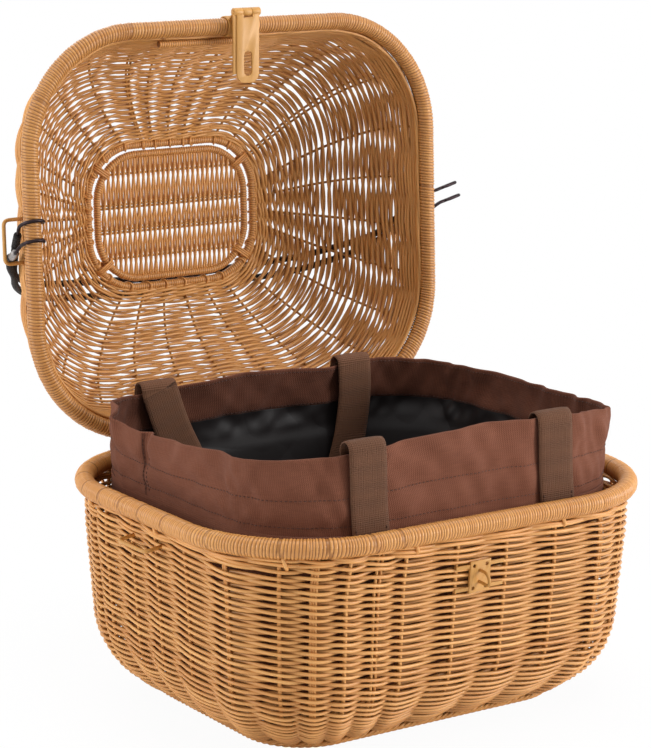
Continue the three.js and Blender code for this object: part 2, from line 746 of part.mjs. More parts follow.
for (const word of ['front', 'rear']) {
  const { sleeve, loose, climb, top } = cordRoutes[word];
  const half = (side) => {
    const [mouth, foot] = sleeve.map(fromRim(side));
    const lead = mouth.clone().sub(foot).setLength(4).add(mouth);
    const up = climb.map(([height, y]) => v3(...overLid(side, height, y)));
    return [mouth, lead, ...loose.map(fromRim(side)), ...up];
  };
  const middle = top.map(([share, y]) => v3(share * crownHalfWidth, y, topRise));
  const route = [...half(-1), ...middle, ...half(1).reverse()].map((p) => p.toArray());
  place(lid, `elastic_cord_${word}`, wire(smooth(route), cordRadius, 46), blackRubber);
  [[-1, 'left'], [1, 'right']].forEach(([side, hand], i) => {
    const [from, to] = sleeve.map(fromRim(side));
    const start = from.clone().lerp(to, 2 * seatGap / from.distanceTo(to));
    place(lid, `strap_sleeve_${hand}_${word}`,
      wire(new THREE.LineCurve3(start, to), sleeveRadius, 1, 10), blackRubber);
    const beyond = (distance) => to.clone().lerp(from, -distance / from.distanceTo(to));
    const points = [beyond(seatGap), ...hookShapes[word][i](beyond(2 * hookRadius))];
    place(lid, `strap_hook_${hand}_${word}`, wire(smooth(points.map((p) => p.toArray())), hookRadius, 22, hookSides), darkSteel);
  });
}

// Bag: canvas tub and lining below the split, a collar above it
const bagOutside = tubWall + bagEase;
const bagFloorZ = tubFloor + seatGap;
const splitZ = rimHeight + bagSplit;
function tubSkin(outside, wall, floorZ, topZ) {
  const face = (inside, low) => tubHeights(low, topZ, inside, bagTurnSteps).map((z) => tubRing(z, inside));
  return shell(face(outside, floorZ), face(outside + wall, floorZ + wall));
}
const bagTop = splitZ - seatGap / 2;
place(root, 'bag_canvas', tubSkin(bagOutside, bagWall, bagFloorZ, bagTop), canvas);
const liningOutside = bagOutside + bagWall + seatGap;
place(root, 'bag_lining', tubSkin(liningOutside, liningWall, bagFloorZ + bagWall + seatGap, bagTop), liningCloth);

// Plan of the collar at height z, some way inside its outer face
function collarHalf(z, inside) {
  const k = (z - splitZ) / (collarHeight - bagSplit);
  const foot = tubRingAt(splitZ, bagOutside);
  const corner = tubCornerAt(splitZ, foot);
  return {
    x: rimHalfWidth - foot - k * (collarInsetX - foot) - inside,
    y: rimHalfDepth - foot - k * (collarInsetY - foot) - inside,
    corner: corner + k * (collarCorner - corner) - inside,
  };
}
const collarTop = rimHeight + collarHeight;
const collarRing = (z, inside) => {
  const half = collarHalf(z, inside);
  return outline(half.x, half.y, half.corner, z);
};
const collarLow = splitZ + seatGap / 2;
const collarMid = (collarLow + collarTop) / 2;
place(root, 'bag_collar', new LoftGeometry([
  collarRing(collarLow, 0), collarRing(collarMid, 0), collarRing(collarTop, 0),
  collarRing(collarTop, bagWall), collarRing(collarMid, bagWall), collarRing(collarLow, bagWall),
  collarRing(collarLow, 0),
]), canvas);

// Webbing handle: sewn outside the bag, folded over its edge, and hanging as a loop inside
function handle(legX, midX, side) {
  const outerFace = (z) => (z > splitZ ? collarHalf(z, 0).y : rimHalfDepth - tubRingAt(z, bagOutside));
  const sewn = seatGap + webbingGauge / 2;
  const deepest = liningOutside - bagOutside + liningWall + sewn;
  const fold = bagWall / 2 + seatGap + webbingGauge / 2;
  const frames = [];
  const tailZ = rimHeight - handleTail;
  for (const z of [tailZ, splitZ, collarTop]) {
    frames.push({ at: v3(-legX, outerFace(z) + sewn, z), wide: v3(1, 0, 0), thick: v3(0, 1, 0) });
  }
  const edgeY = outerFace(collarTop) - bagWall / 2;
  const reach = handleDrop + webbingWidth / 2;
  const lowZ = collarTop - reach;
  const hungY = outerFace(collarTop) - bagWall - sewn;
  const slope = (hungY - outerFace(lowZ) + deepest) / reach;
  for (const degrees of [45, 90, 135]) {
    const [c, s] = [Math.cos(rad(degrees)), Math.sin(rad(degrees))];
    frames.push({
      at: v3(-legX, edgeY + fold * c, collarTop + fold * s),
      wide: v3(1, 0, 0),
      thick: v3(0, c, s),
    });
  }
  const overEdge = frames.length;
  const sags = 16;
  for (let i = 0; i <= sags; i++) {
    const a = Math.PI * i / sags;
    const drop = handleDrop * Math.sin(a);
    const wide = v3(Math.cos(a) / legX, 0, Math.sin(a) / handleDrop).normalize();
    wide.y = slope * wide.z;
    const at = v3(-legX * Math.cos(a), hungY - slope * drop, collarTop - drop);
    frames.push({ at, wide, thick: v3(0, -1, 0) });
  }
  const corners = [[-1, -1], [1, -1], [1, 1], [-1, 1]];
  const sections = frames.map(({ at, wide, thick }) => corners.map(([w, t]) => at.clone()
    .addScaledVector(wide, w * webbingWidth / 2)
    .addScaledVector(thick, t * webbingGauge / 2)));
  const climb = sections.slice(0, overEdge);
  const descent = climb.map((ring) => ring.map((p) => v3(-p.x, p.y, p.z))).reverse();
  const all = [...sections, ...descent].map((ring) => ring.map((p) => v3(p.x + midX, side * p.y, p.z)));
  if (side < 0) all.forEach((ring) => ring.reverse());
  return solidOf(new LoftGeometry(all, { capStart: true, capEnd: true }));
}
place(root, 'front_handle', handle(frontHandleX, frontHandleMid, -1), webbing);
place(root, 'rear_handle', handle(rearHandleX, rearHandleMid, 1), webbing);

export default root;
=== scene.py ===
"""Looks of a scooter's luggage basket: woven cane tub and lid, hasp, elastic strap and canvas bag.

Shapes are worked out in millimetres in the part's own frame: the middle of the tub is at x = y = 0, x runs
to the right, y to the back and z up. The lid is shaped shut, with the middle of its rim at the origin, and
is then turned open about its hinges."""

import math
from types import SimpleNamespace

import bmesh
import bpy
import numpy as np
from bpy.props import FloatProperty, FloatVectorProperty, IntProperty, PointerProperty
from mathutils import Matrix


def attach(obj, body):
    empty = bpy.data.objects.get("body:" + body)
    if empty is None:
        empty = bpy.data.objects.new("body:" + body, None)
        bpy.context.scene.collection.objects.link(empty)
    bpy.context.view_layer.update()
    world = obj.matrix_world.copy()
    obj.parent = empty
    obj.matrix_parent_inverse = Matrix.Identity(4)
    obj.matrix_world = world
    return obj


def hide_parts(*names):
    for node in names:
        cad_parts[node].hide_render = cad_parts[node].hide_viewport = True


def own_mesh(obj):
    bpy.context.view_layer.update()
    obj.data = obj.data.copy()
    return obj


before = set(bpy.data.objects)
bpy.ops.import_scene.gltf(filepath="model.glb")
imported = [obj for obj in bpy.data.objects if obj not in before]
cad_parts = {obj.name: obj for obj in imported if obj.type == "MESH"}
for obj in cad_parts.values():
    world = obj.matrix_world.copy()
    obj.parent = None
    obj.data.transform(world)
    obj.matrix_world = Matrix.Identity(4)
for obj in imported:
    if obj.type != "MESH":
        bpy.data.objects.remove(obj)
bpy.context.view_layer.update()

bl_info = {
    "name": "Scooter luggage basket",
    "version": (1, 0, 0),
    "blender": (4, 5, 0),
    "location": "3D View > Sidebar > Basket",
    "description": "Woven luggage basket with an open domed lid, hasp, elastic strap and canvas bag",
    "category": "Add Mesh",
}

MM = 0.001
UP = np.array([0, 0, 1.0])
BACK = np.array([0, 1.0, 0])
PHOTO_HEIGHT = 748  # in pixels

# Tub: the line of its rim, then its face, which leans in and turns under as part of an ellipse
RIM_HALF_X = 200
RIM_HALF_Y = 165.2
RIM_CORNER = 102
RIM_Z = 175.5
RIM_RADIUS = 8.0
WALL_INSET = 3.7  # of the outer face, at the height of the rim
WALL_LEAN = 0.072  # inward for each millimetre down
WALL_CORNER = 81
TURN_Z = 71.5  # where the ellipse begins
TURN_PAST = 4.1  # how far under the ground it would end
TURN_IN = 82.3  # how far in it would go
FLOOR = (137, 102.2, 46.5)
FLOOR_Z = 3.4
BORDER_Z = 3.0
WEAVE_INSET = 3.5  # of the weave's middle, inside the outer face

# Lid: its rim, a short upright foot, then a dome up to the crown ring
LID_HALF_X = 197.35
LID_CORNER = 97.5
LID_RIM_RADIUS = 7.3
LID_INSET = 3.4
LID_LEAN = 0.1  # inward for each millimetre up
LID_FOOT = 13
LID_FOOT_INSET = LID_INSET + LID_LEAN * LID_FOOT
LID_SPREAD = 3.0  # how far outward the weave is spread to meet the rim
CROWN = (84.2, 61.8, 46.4)
CROWN_Z = 109.1
CROWN_INSET = LID_HALF_X - CROWN[0]
CROWN_RADIUS = 3.5
LID_TOP = CROWN_Z + 2.75
PANEL_RING = (75, 53.9, 40)
PANEL = (73.5, 52.5, 39)
PANEL_RODS = (-37.9, -11.2, -8.6, 10.2, 12.9, 35.2)
PANEL_CROSSINGS = (-37.9, -9.9, 11.5, 35.2)
LID_OPEN = math.radians(-92.9)
HINGE_Y = 166
HINGE_Z = 194

# Bag: its collar's half width, half depth and corner at the foot, and what these gain up to the edge
BAG_INSET = 10.0
BAG_WIDTH_SHARE = 0.934
SPLIT_Z = 179.65  # where the collar ends and the cups begin
COLLAR_Z = 179.5  # where the collar's face leaves the lean of the wall
COLLAR_HEIGHT = 58
COLLAR_FOOT = (174, 151.79, 79.76)
COLLAR_GAIN = (3, -7.79, -8)


# Sizes and colours that a user would change
def length(name, description, default, low=0.0001, high=1.0):
    """A length in metres."""
    return FloatProperty(name=name, description=description, default=default,
                         min=low, max=high, unit="LENGTH", precision=4)


def colour(name, description, default):
    """A colour, given as the eye sees it (sRGB, 0 to 255) and kept as linear light."""
    linear = [(c / 255 / 12.92 if c <= 10 else ((c / 255 + 0.055) / 1.055) ** 2.4) for c in default]
    return FloatVectorProperty(name=name, description=description, default=(*linear, 1),
                               size=4, min=0, max=1, subtype="COLOR")


class BasketWeave(bpy.types.PropertyGroup):
    """Sizes of the woven, wrapped and braided cane."""

    strand: length("Strand radius", "Radius of the round cane that is woven", 0.00148)
    lid_strand: length("Lid strand radius", "Radius of the thinner cane woven in the lid", 0.00128)
    stake: length("Stake radius", "Radius of the upright stakes", 0.00115)
    row: length("Row pitch", "Distance from one row of the weave to the next", 0.0054)
    foot_row: length("Row pitch at the foot", "Row distance where the tub turns under", 0.0041)
    depth: length("Weave depth", "How far a strand swings out of the middle of the wall", 0.0024)
    lid_depth: length("Lid weave depth", "The same swing in the thinner lid", 0.00195)
    rim_wrap: length("Rim wrap", "Width of one turn of the cane round the rims", 0.0025)
    ring_wrap: length("Ring wrap", "Width of one turn round the rings of the top", 0.0021)
    panel_pair: length("Panel pair", "Distance between the twisted pairs in the top", 0.00505)
    seed: IntProperty(name="Seed", description="Picks one pattern of small unevenness", default=7)


class BasketBag(bpy.types.PropertyGroup):
    """Sizes of the bag."""

    hem: length("Hem", "Height of the canvas band inside the edge", 0.037)
    fold: length("Fold", "How deep the folds of the standing collar are", 0.0040)
    stitch: length("Stitch", "Length of one stitch with its gap", 0.0036)
    cloth: length("Cloth", "Thickness of the canvas", 0.0011)
    webbing: length("Webbing width", "Width of the handles", 0.033)
    webbing_thickness: length("Webbing thickness", "Thickness of the handles", 0.0018)


class BasketColours(bpy.types.PropertyGroup):
    """Colours of the basket."""

    cane_light: colour("Cane, light", "Lightest strands outside", (236, 179, 108))
    cane_dark: colour("Cane, dark", "Darkest strands outside", (202, 136, 73))
    # Partly the stain of the lid's inside, partly painted shade on the sides of strands that face in
    cane_inner: colour("Cane, inner face", "Strands that face into the lid", (220, 158, 88))
    # Painted shade in the grooves between turns and on strand sides that lie behind; also the colour of the
    # darker grain
    cane_grain_and_shade: colour("Cane, in the grooves", "Dirt and shade between the turns", (104, 58, 22))
    # Painted shade: the lid's stakes and rods are made darker than the woven cane, as they stand behind it in
    # shade
    stake: colour("Stakes", "Uprights behind the strands", (178, 124, 62))
    paint: colour("Paint", "Tan paint of the metal parts", (200, 146, 76))
    wire: colour("Hook wire", "Dark wire of the hooks", (58, 48, 50))
    ferrule: colour("Ferrule", "Bright metal of the crimped ferrules", (176, 170, 168))
    elastic: colour("Elastic", "Cover of the elastic cord", (22, 18, 18))
    canvas: colour("Canvas", "Outer cloth of the bag", (134, 84, 64))
    # Also the colour of the painted shade on the hem's inner band, through the groove mark
    canvas_dark: colour("Canvas, dark", "The canvas's darker threads", (76, 43, 31))
    lining: colour("Lining", "Inner cloth of the bag", (24, 17, 17))
    webbing: colour("Webbing", "Handles of the bag", (112, 77, 57))
    thread: colour("Thread", "Sewing thread", (84, 52, 40))
    floor: colour("Floor", "Pale floor under the basket", (250, 250, 250))


def user_value(value):
    """A length in millimetres, a colour as four numbers, and a whole number as it is."""
    if isinstance(value, float):
        return value / MM
    return value if isinstance(value, int) else tuple(value)


def values_of(group):
    """What a user has set in a group."""
    return SimpleNamespace(**{name: user_value(getattr(group, name)) for name in type(group).__annotations__})


# Shader maths
def operator(operation, turned=False):
    """A method of Wire that adds one Math node for the wire and another value."""
    def method(wire, other):
        values = (other, wire) if turned else (wire, other)
        return wire.math(operation, *values)
    return method


class Wire:
    """A node's output that can stand in a sum: each operator adds its Math node."""

    def __init__(self, nodes, socket):
        self.nodes = nodes
        self.socket = socket

    def math(self, operation, *values):
        """One Math node on these values."""
        return self.nodes.node("ShaderNodeMath", {"operation": operation}, dict(enumerate(values)))

    __add__ = operator("ADD")
    __radd__ = operator("ADD", turned=True)
    __sub__ = operator("SUBTRACT")
    __rsub__ = operator("SUBTRACT", turned=True)
    __mul__ = operator("MULTIPLY")
    __rmul__ = operator("MULTIPLY", turned=True)
    most = operator("MAXIMUM")

    def kept(self):
        """The value held between 0 and 1."""
        return self.math("MINIMUM", self.most(0.0), 1.0)

    def off_middle(self):
        """Distance of the value from a half."""
        return self.math("ABSOLUTE", self - 0.5)

    def stripes(self, count):
        """Distance from the middle of a stripe, 0 to 0.5, with so many stripes to one of the value."""
        return self.math("FRACT", self * count).off_middle()


class Nodes:
    """A node tree that is being filled."""

    def __init__(self, tree):
        self.tree = tree
        tree.nodes.clear()

    def node(self, kind, settings=None, inputs=None, output=0):
        """Adds a node: its settings first, then its sockets' values or links."""
        made = self.tree.nodes.new(kind)
        for key, value in (settings or {}).items():
            if key == "stops":
                ramp = made.color_ramp.elements
                while len(ramp) < len(value):
                    ramp.new(0.5)
                for element, (place, shade) in zip(ramp, value):
                    element.position = place
                    element.color = (shade, shade, shade, 1)
            else:
                setattr(made, key, value)
        for key, value in (inputs or {}).items():
            if isinstance(value, Wire):
                self.tree.links.new(value.socket, made.inputs[key])
            else:
                made.inputs[key].default_value = value
        return Wire(self, made.outputs[output]) if made.outputs else None


class Finish(Nodes):
    """One material under construction."""

    def __init__(self, name, **constants):
        self.material = bpy.data.materials.new(name)
        self.material.use_nodes = True
        super().__init__(self.material.node_tree)
        values = {key.replace("_", " "): value for key, value in constants.items()}
        self.skin = self.node("ShaderNodeBsdfPrincipled", None, values)
        self.output = self.tree.nodes.new("ShaderNodeOutputMaterial")
        self.show(self.skin)

    def show(self, surface):
        """Makes this the material's surface."""
        self.tree.links.new(surface.socket, self.output.inputs["Surface"])

    def mix(self, share, first, second):
        """A colour between two."""
        return self.node("ShaderNodeMix", {"data_type": "RGBA"}, {0: share, 6: first, 7: second}, 2)

    def mark(self, name):
        """A number kept on the mesh's points."""
        return self.node("ShaderNodeAttribute", {"attribute_name": name}, output=2)

    def across(self):
        """The piece's own UV in metres, as its two numbers."""
        uv = self.node("ShaderNodeUVMap", {"uv_map": "UVMap"})
        return [self.node("ShaderNodeSeparateXYZ", None, {0: uv}, axis) for axis in (0, 1)]

    def point(self, x, y, z=0.0):
        """Three numbers as one vector."""
        return self.node("ShaderNodeCombineXYZ", None, {0: x, 1: y, 2: z})

    def place(self):
        """The place on the object, in metres."""
        return self.node("ShaderNodeTexCoord", output="Object")

    def noise(self, vector, scale, detail=3.0, roughness=0.55):
        """Cloudy noise from 0 to 1."""
        return self.node("ShaderNodeTexNoise", None,
                         {"Vector": vector, "Scale": scale, "Detail": detail, "Roughness": roughness})

    def ramp(self, value, *stops):
        """A value redrawn through stops of (place, grey)."""
        return self.node("ShaderNodeValToRGB", {"stops": stops}, {0: value})

    def feed(self, name, value):
        """Links a value to a socket of the skin."""
        self.tree.links.new(value.socket, self.skin.socket.node.inputs[name])

    def bump(self, height, distance, strength):
        """Raises the skin by a height in metres, and gives the finished material."""
        values = {"Height": height, "Distance": distance, "Strength": strength}
        self.feed("Normal", self.node("ShaderNodeBump", None, values))
        return self.material


def tinted(tone, share):
    """A colour times a share, or times one share for each of its three parts."""
    return (*np.minimum(np.multiply(tone[:3], share), 1.0).tolist(), 1.0)


# Materials
def cane_finish(name, light, dark, inner, deep, roughness=0.42):
    """Split cane: fibres along the strand, a tone for each strand, patches, and painted shade in the grooves
    and on strand sides that lie behind.
    """
    f = Finish(name, Coat_Roughness=0.25, Specular_IOR_Level=0.35)
    along, around = f.across()
    fibres = f.noise(f.point(along * 22.0, around * 900.0), 1.0, 4.0, 0.6)
    streaks = f.noise(f.point(along * 7.0, around * 380.0, 3.0), 1.0, 2.0)
    patches = f.noise(f.place(), 46.0, 3.0)
    tone = f.mark("tone") * 0.58 + streaks * 0.32 + patches * 0.28 - 0.08
    outside = f.mix(tone.kept(), dark, light)
    # The inner-face colour is partly stain and partly painted shade; facing mixes it onto the sides of
    # strands that face in
    inside = f.mix((tone * 0.8 + 0.1).kept(), tinted(inner, 0.74), inner)
    facing = f.ramp(f.mark("facing"), (0.38, 0.0), (0.62, 1.0))
    skin = f.mix(facing, inside, outside)
    # Share of the shade colour: painted shade from the groove mark, and the darker grain between fibres
    shade = (f.mark("groove") * 0.85 + (0.42 - fibres).kept() * 1.1).kept()
    f.feed("Base Color", f.mix(shade, skin, deep))
    f.feed("Roughness", fibres * 0.22 + (roughness - 0.06))
    f.feed("Coat Weight", 0.16 - shade * 0.14)
    return f.bump(fibres * 0.6 + streaks * 0.4, 0.00022, 0.6)


def paint_finish(name, tone):
    """Tan paint on metal: faint orange peel, cloudy wear and specks of grime."""
    f = Finish(name, Coat_Weight=0.12, Coat_Roughness=0.3, Specular_IOR_Level=0.35)
    peel = f.noise(f.place(), 900.0, 2.0)
    cloud = f.noise(f.place(), 38.0, 4.0, 0.6)
    specks = f.ramp(f.noise(f.place(), 420.0, 3.0, 0.7), (0.66, 0.0), (0.72, 1.0))
    base = f.mix(f.ramp(cloud, (0.35, 0.0), (0.75, 1.0)) * 0.4, tone, tinted(tone, 0.62))
    f.feed("Base Color", f.mix(specks * 0.45, base, tinted(tone, 0.35)))
    f.feed("Roughness", cloud * 0.25 + 0.34)
    return f.bump(peel, 0.00006, 0.5)


def metal_finish(name, tone, roughness):
    """Drawn wire or crimped sheet: fine lines along it, dull patches."""
    f = Finish(name, Metallic=1.0)
    along, around = f.across()
    lines = f.noise(f.point(along * 60.0, around * 2600.0), 1.0, 3.0)
    dull = f.noise(f.place(), 120.0, 3.0)
    f.feed("Base Color", f.mix(dull, tone, tinted(tone, 0.55)))
    f.feed("Roughness", lines * 0.18 + dull * 0.2 + (roughness - 0.18))
    return f.bump(lines, 0.00004, 0.6)


def elastic_finish(name, tone):
    """Braided textile cover: two crossing helices of flat yarns."""
    f = Finish(name, Sheen_Weight=0.08, Sheen_Roughness=0.5, Specular_IOR_Level=0.2)
    along, around = f.across()
    yarns = 1.0 - (along + around).stripes(420.0).most((along - around).stripes(420.0)) * 1.6
    fuzz = f.noise(f.place(), 2400.0, 2.0)
    # Painted highlight on the crowns of the yarns and painted shade in the gaps between them
    f.feed("Base Color", f.mix((yarns * 0.7 + fuzz * 0.3).kept(), tinted(tone, 0.3), tinted(tone, 2.2)))
    f.feed("Roughness", 0.78 - yarns * 0.22)
    return f.bump(yarns, 0.0004, 0.9)


def cloth_finish(name, tone, dark, thread, ribs, sheen, roughness, twill=1.0):
    """Woven cloth: threads both ways, a diagonal twill where asked, slubs, soft wear, and the groove mark,
    which paints shade above zero and light below it.

    thread is the distance between threads in metres, and ribs the number of ribs a metre across webbing."""
    f = Finish(name, Sheen_Weight=sheen, Sheen_Roughness=0.5, Specular_IOR_Level=0.12)
    along, up = f.across()
    slub = f.noise(f.point(along * 90.0, up * 900.0), 1.0, 3.0)
    warp = along.stripes(1 / thread)
    weft = (up + along * twill).stripes(1 / thread)
    weave = 1.0 - warp * 1.1 - weft * 1.1
    worn = f.noise(f.place(), 26.0, 5.0, 0.62)
    # The groove mark adds painted shade to the share of the dark colour, and painted light where it is below
    # zero
    shade = ((1.0 - weave) * 0.6 + slub * 0.45 + worn * 0.5 - 0.42 + f.mark("groove")).kept()
    f.feed("Base Color", f.mix(shade, tone, dark))
    f.feed("Roughness", roughness + worn * 0.12)
    height = weave * 0.5 + slub * 0.2
    if ribs:
        height = height + along.stripes(ribs) * 1.2 + up.stripes(480.0) * 0.5
    return f.bump(height, thread * 0.45, 1.0)


def lining_finish(name, tone):
    """Coated nylon: a fine weave under a soft shine, crumpled in creases of a few sizes."""
    f = Finish(name, Specular_IOR_Level=0.3, Coat_Roughness=0.4)
    along, up = f.across()
    weave = along.stripes(1600.0) + up.stripes(1600.0)
    bent = f.noise(f.place(), 9.0, 2.0)
    creases = f.noise(f.place(), 12.0, 0.0, 0.4).off_middle() * 2.0
    small = f.noise(f.place(), 25.0, 0.0, 0.4).off_middle() * 2.0
    f.feed("Base Color", f.mix(weave.kept(), tone, tinted(tone, 0.5)))
    f.feed("Roughness", 0.52 + bent * 0.12)
    f.feed("Coat Weight", bent * 0.05)
    return f.bump(bent * 0.8 + creases * 1.6 + small * 0.5 + weave * 0.004, 0.0055, 0.6)


FINISHES = {}
WRAP_TINT = (0.87, 0.81, 0.72)
# Painted shade: the lid's rim wrap is the base rim's wrap made darker
WRAP_LID_SHADE_TINT = (0.72, 0.65, 0.55)


def finishes():
    """Every material, made once."""
    if FINISHES:
        return FINISHES
    c = values_of(bpy.context.scene.basket_colours)
    cane = (c.cane_light, c.cane_dark, c.cane_inner, c.cane_grain_and_shade)
    wrap, wrap_lid = ([tinted(tone, tint) for tone in cane[:2]] for tint in (WRAP_TINT, WRAP_LID_SHADE_TINT))
    FINISHES.update(
        cane=cane_finish("cane_woven", *cane),
        wrap=cane_finish("cane_wrapped", *wrap, *cane[2:], roughness=0.36),
        # The lid's rim wrap: a darker copy of the rim wrap, painted shade
        wrap_lid=cane_finish("cane_wrapped_lid", *wrap_lid, *cane[2:], roughness=0.36),
        ring=cane_finish("cane_shaded", tinted(c.cane_dark, 0.86), c.cane_inner, c.cane_inner, c.cane_grain_and_shade),
        # Stakes and rods in the lid: a darker copy of the cane, painted shade
        stake=cane_finish("cane_stake", c.stake, tinted(c.stake, 0.7), c.stake, c.cane_grain_and_shade, roughness=0.6),
        paint=paint_finish("tan_paint", c.paint),
        wire=metal_finish("dark_wire", c.wire, 0.42),
        ferrule=metal_finish("bright_ferrule", c.ferrule, 0.38),
        elastic=elastic_finish("braided_elastic", c.elastic),
        canvas=cloth_finish("bag_canvas_twill", c.canvas, c.canvas_dark, 0.0016, 0, 0.05, 0.85),
        lining=lining_finish("bag_lining_satin", c.lining),
        webbing=cloth_finish("bag_webbing", c.webbing, tinted(c.webbing, 0.45), 0.0014, 640.0, 0.06, 0.8,
                             twill=0.0),
        thread=cloth_finish("bag_thread", c.thread, tinted(c.thread, 0.5), 0.0005, 0, 0.2, 0.7),
    )
    return FINISHES


# Shapes as whole arrays
def unit(v):
    """Vectors made one long."""
    return v / np.maximum(np.linalg.norm(v, axis=-1, keepdims=True), 1e-12)


def lifted(plane, z):
    """Points of the plane with a height each."""
    return np.concatenate([plane, np.broadcast_to(z, plane.shape[:-1])[..., None]], -1)


def between(*stops):
    """A function that reads a value between stops of (place, value)."""
    places, values = zip(*stops)

    def value(at):
        return np.interp(at, places, values)
    return value


def circle(count):
    """So many angles round a circle."""
    return np.linspace(0, 2 * math.pi, count, endpoint=False)


def smooth_step(t):
    """A rise from 0 to 1 that starts and ends level."""
    t = np.clip(t, 0, 1)
    return t * t * (3 - 2 * t)


class Plan:
    """A rounded rectangle read by the distance s along its reference outline.

    s starts at the left end of the front straight and runs to the right, round by the back.
    Another rectangle is read by the same share of the same straight or the same angle of the
    same corner, so that a stake at one s stands upright through rings of every size."""

    def __init__(self, half_x, half_y, corner):
        self.own = (half_x, half_y, corner)
        quarter = math.pi / 2 * corner
        self.lengths = np.array([2 * (half_x - corner), quarter, 2 * (half_y - corner), quarter] * 2)
        self.ends = np.cumsum(self.lengths)
        self.total = self.ends[-1]

    def at(self, s, half_x, half_y, corner):
        """Points and outward directions in the plane."""
        s = np.mod(s, self.total)
        part = np.minimum(np.searchsorted(self.ends, s, side="right"), 7)
        share = (s - (self.ends - self.lengths)[part]) / self.lengths[part]
        side = part // 2
        ahead = np.stack([np.cos(side * math.pi / 2), np.sin(side * math.pi / 2)], -1)
        out = np.stack([ahead[..., 1], -ahead[..., 0]], -1)
        far = np.where(side % 2 == 0, half_x, half_y) - corner
        off = np.where(side % 2 == 0, half_y, half_x) - corner
        straight = part % 2 == 0
        turn = np.where(straight, 0.0, share * math.pi / 2)
        reach = np.where(straight, (2 * share - 1) * far, far)
        normal = out * np.cos(turn)[..., None] + ahead * np.sin(turn)[..., None]
        corner = np.broadcast_to(corner, s.shape)
        spot = ahead * reach[..., None] + out * off[..., None] + normal * corner[..., None]
        return spot, normal

    def measured(self, halves):
        """Places along the reference outline, and how far another one has gone at each of them."""
        s = np.linspace(0, self.total, 4001)
        return s, run_length(self.at(s, *halves)[0])

    def away(self, s, place):
        """Signed distance along the outline from a place on it, the shorter way round."""
        return np.mod(s - place + self.total / 2, self.total) - self.total / 2


class Wall:
    """A woven wall: a profile of (inset, height) with a rounded outline at each of its heights.

    at(s, a) is the point at s along the outline and a mm down the profile, and normal(s, a) is the
    outward direction there, the cross product of two small steps."""

    def __init__(self, plan, inset, height, halves):
        self.plan, self.halves = plan, halves
        self.inset, self.height = inset, height
        self.arc = np.concatenate([[0], np.cumsum(np.hypot(np.diff(inset), np.diff(height)))])
        self.length = self.arc[-1]
        self.sense = 1 if height[-1] < height[0] else -1

    def at(self, s, a):
        s, a = np.broadcast_arrays(np.asarray(s, float), np.asarray(a, float))
        inset = np.interp(a, self.arc, self.inset)
        height = np.interp(a, self.arc, self.height)
        spot, _ = self.plan.at(s, *self.halves(inset, height))
        return lifted(spot, height)

    def normal(self, s, a, step=0.6):
        a = np.clip(a, 0.7, self.length - 0.7)
        ahead = self.at(s + step, a) - self.at(s - step, a)
        down = self.at(s, a + step) - self.at(s, a - step)
        return unit(np.cross(down, ahead)) * self.sense


TUB_PLAN = Plan(RIM_HALF_X, RIM_HALF_Y, RIM_CORNER)
LID_PLAN = Plan(LID_HALF_X, RIM_HALF_Y, LID_CORNER)
FRONT_MIDDLE = RIM_HALF_X - RIM_CORNER
REAR_MIDDLE = 740.8  # along the tub's outline


def tub_halves(inset, z):
    """Half width, half depth and corner of the tub where its face is so far inside the rim's line."""
    widen = np.clip(1 - (RIM_Z - z) / 40, 0, 1)
    return RIM_HALF_X - inset, RIM_HALF_Y - inset, WALL_CORNER - 0.54 * inset + 6 * widen


def tub_inset(z, inside):
    """Inset of the tub's face: a straight lean, then part of an ellipse that turns under."""
    sine = np.clip((TURN_Z - z) / (TURN_Z + TURN_PAST - inside), 0, 1)
    lean = WALL_LEAN * np.minimum(RIM_Z - z, RIM_Z - TURN_Z)
    return WALL_INSET + lean + inside + (TURN_IN - inside) * (1 - np.sqrt(1 - sine ** 2))


def tub_wall(inside, top, low):
    """The tub's wall from one height down to another, some way inside the outer face."""
    reach = TURN_Z + TURN_PAST - inside
    sine = np.sin(np.linspace(0, math.asin(min(1, (TURN_Z - low) / reach)), 90))
    z = np.concatenate([np.linspace(top, TURN_Z, 60), TURN_Z - reach * sine[1:]])
    return Wall(TUB_PLAN, tub_inset(z, inside), z, tub_halves)


def lid_halves(inset, z):
    """Half width, half depth and corner of the lid: from the rim's outline to the crown's."""
    k = inset / CROWN_INSET
    return (LID_HALF_X - inset, RIM_HALF_Y - k * (RIM_HALF_Y - CROWN[1]),
            LID_CORNER - k * (LID_CORNER - CROWN[2]))


def dome_inset(z, outside=0.0):
    """Inset of the dome at a height, on a face so far outside its own: a quarter of an ellipse."""
    start = LID_FOOT_INSET - outside
    sine = np.clip((z - LID_FOOT) / (LID_TOP + outside - LID_FOOT), 0, 1)
    return start + (CROWN_INSET - start) * (1 - np.sqrt(1 - sine ** 2))


def lid_wall(inside, foot, last):
    """The lid's dome from a height above its rim to an angle of its profile.

    Next to the rim the wall is spread outward and keeps to the rim's own circle, so that no gap opens."""
    t = np.linspace(0, last, 120)
    start = LID_FOOT_INSET + inside
    inset = start + (CROWN_INSET - start) * (1 - np.cos(t))
    z = LID_FOOT + (LID_TOP - inside - LID_FOOT) * np.sin(t)
    low = np.linspace(foot, LID_FOOT, 30)[:-1]
    clear = np.sqrt(np.maximum(0, (LID_RIM_RADIUS + 0.9) ** 2 - low ** 2))
    close = LID_INSET + LID_LEAN * low + inside - LID_SPREAD * np.clip(1 - low / LID_FOOT, 0, 1)
    return Wall(LID_PLAN, np.concatenate([np.maximum(close, clear), inset]),
                np.concatenate([low, z]), lid_halves)


def opened(points):
    """Points of the shut lid, from the middle of its rim, turned open about the hinge line."""
    y, z = points[..., 1] - RIM_HALF_Y, points[..., 2]
    c, s = math.cos(LID_OPEN), math.sin(LID_OPEN)
    return np.stack([points[..., 0], HINGE_Y + y * c - z * s, HINGE_Z + y * s + z * c], -1)


def as_is(points):
    """Points that stay where they are."""
    return points


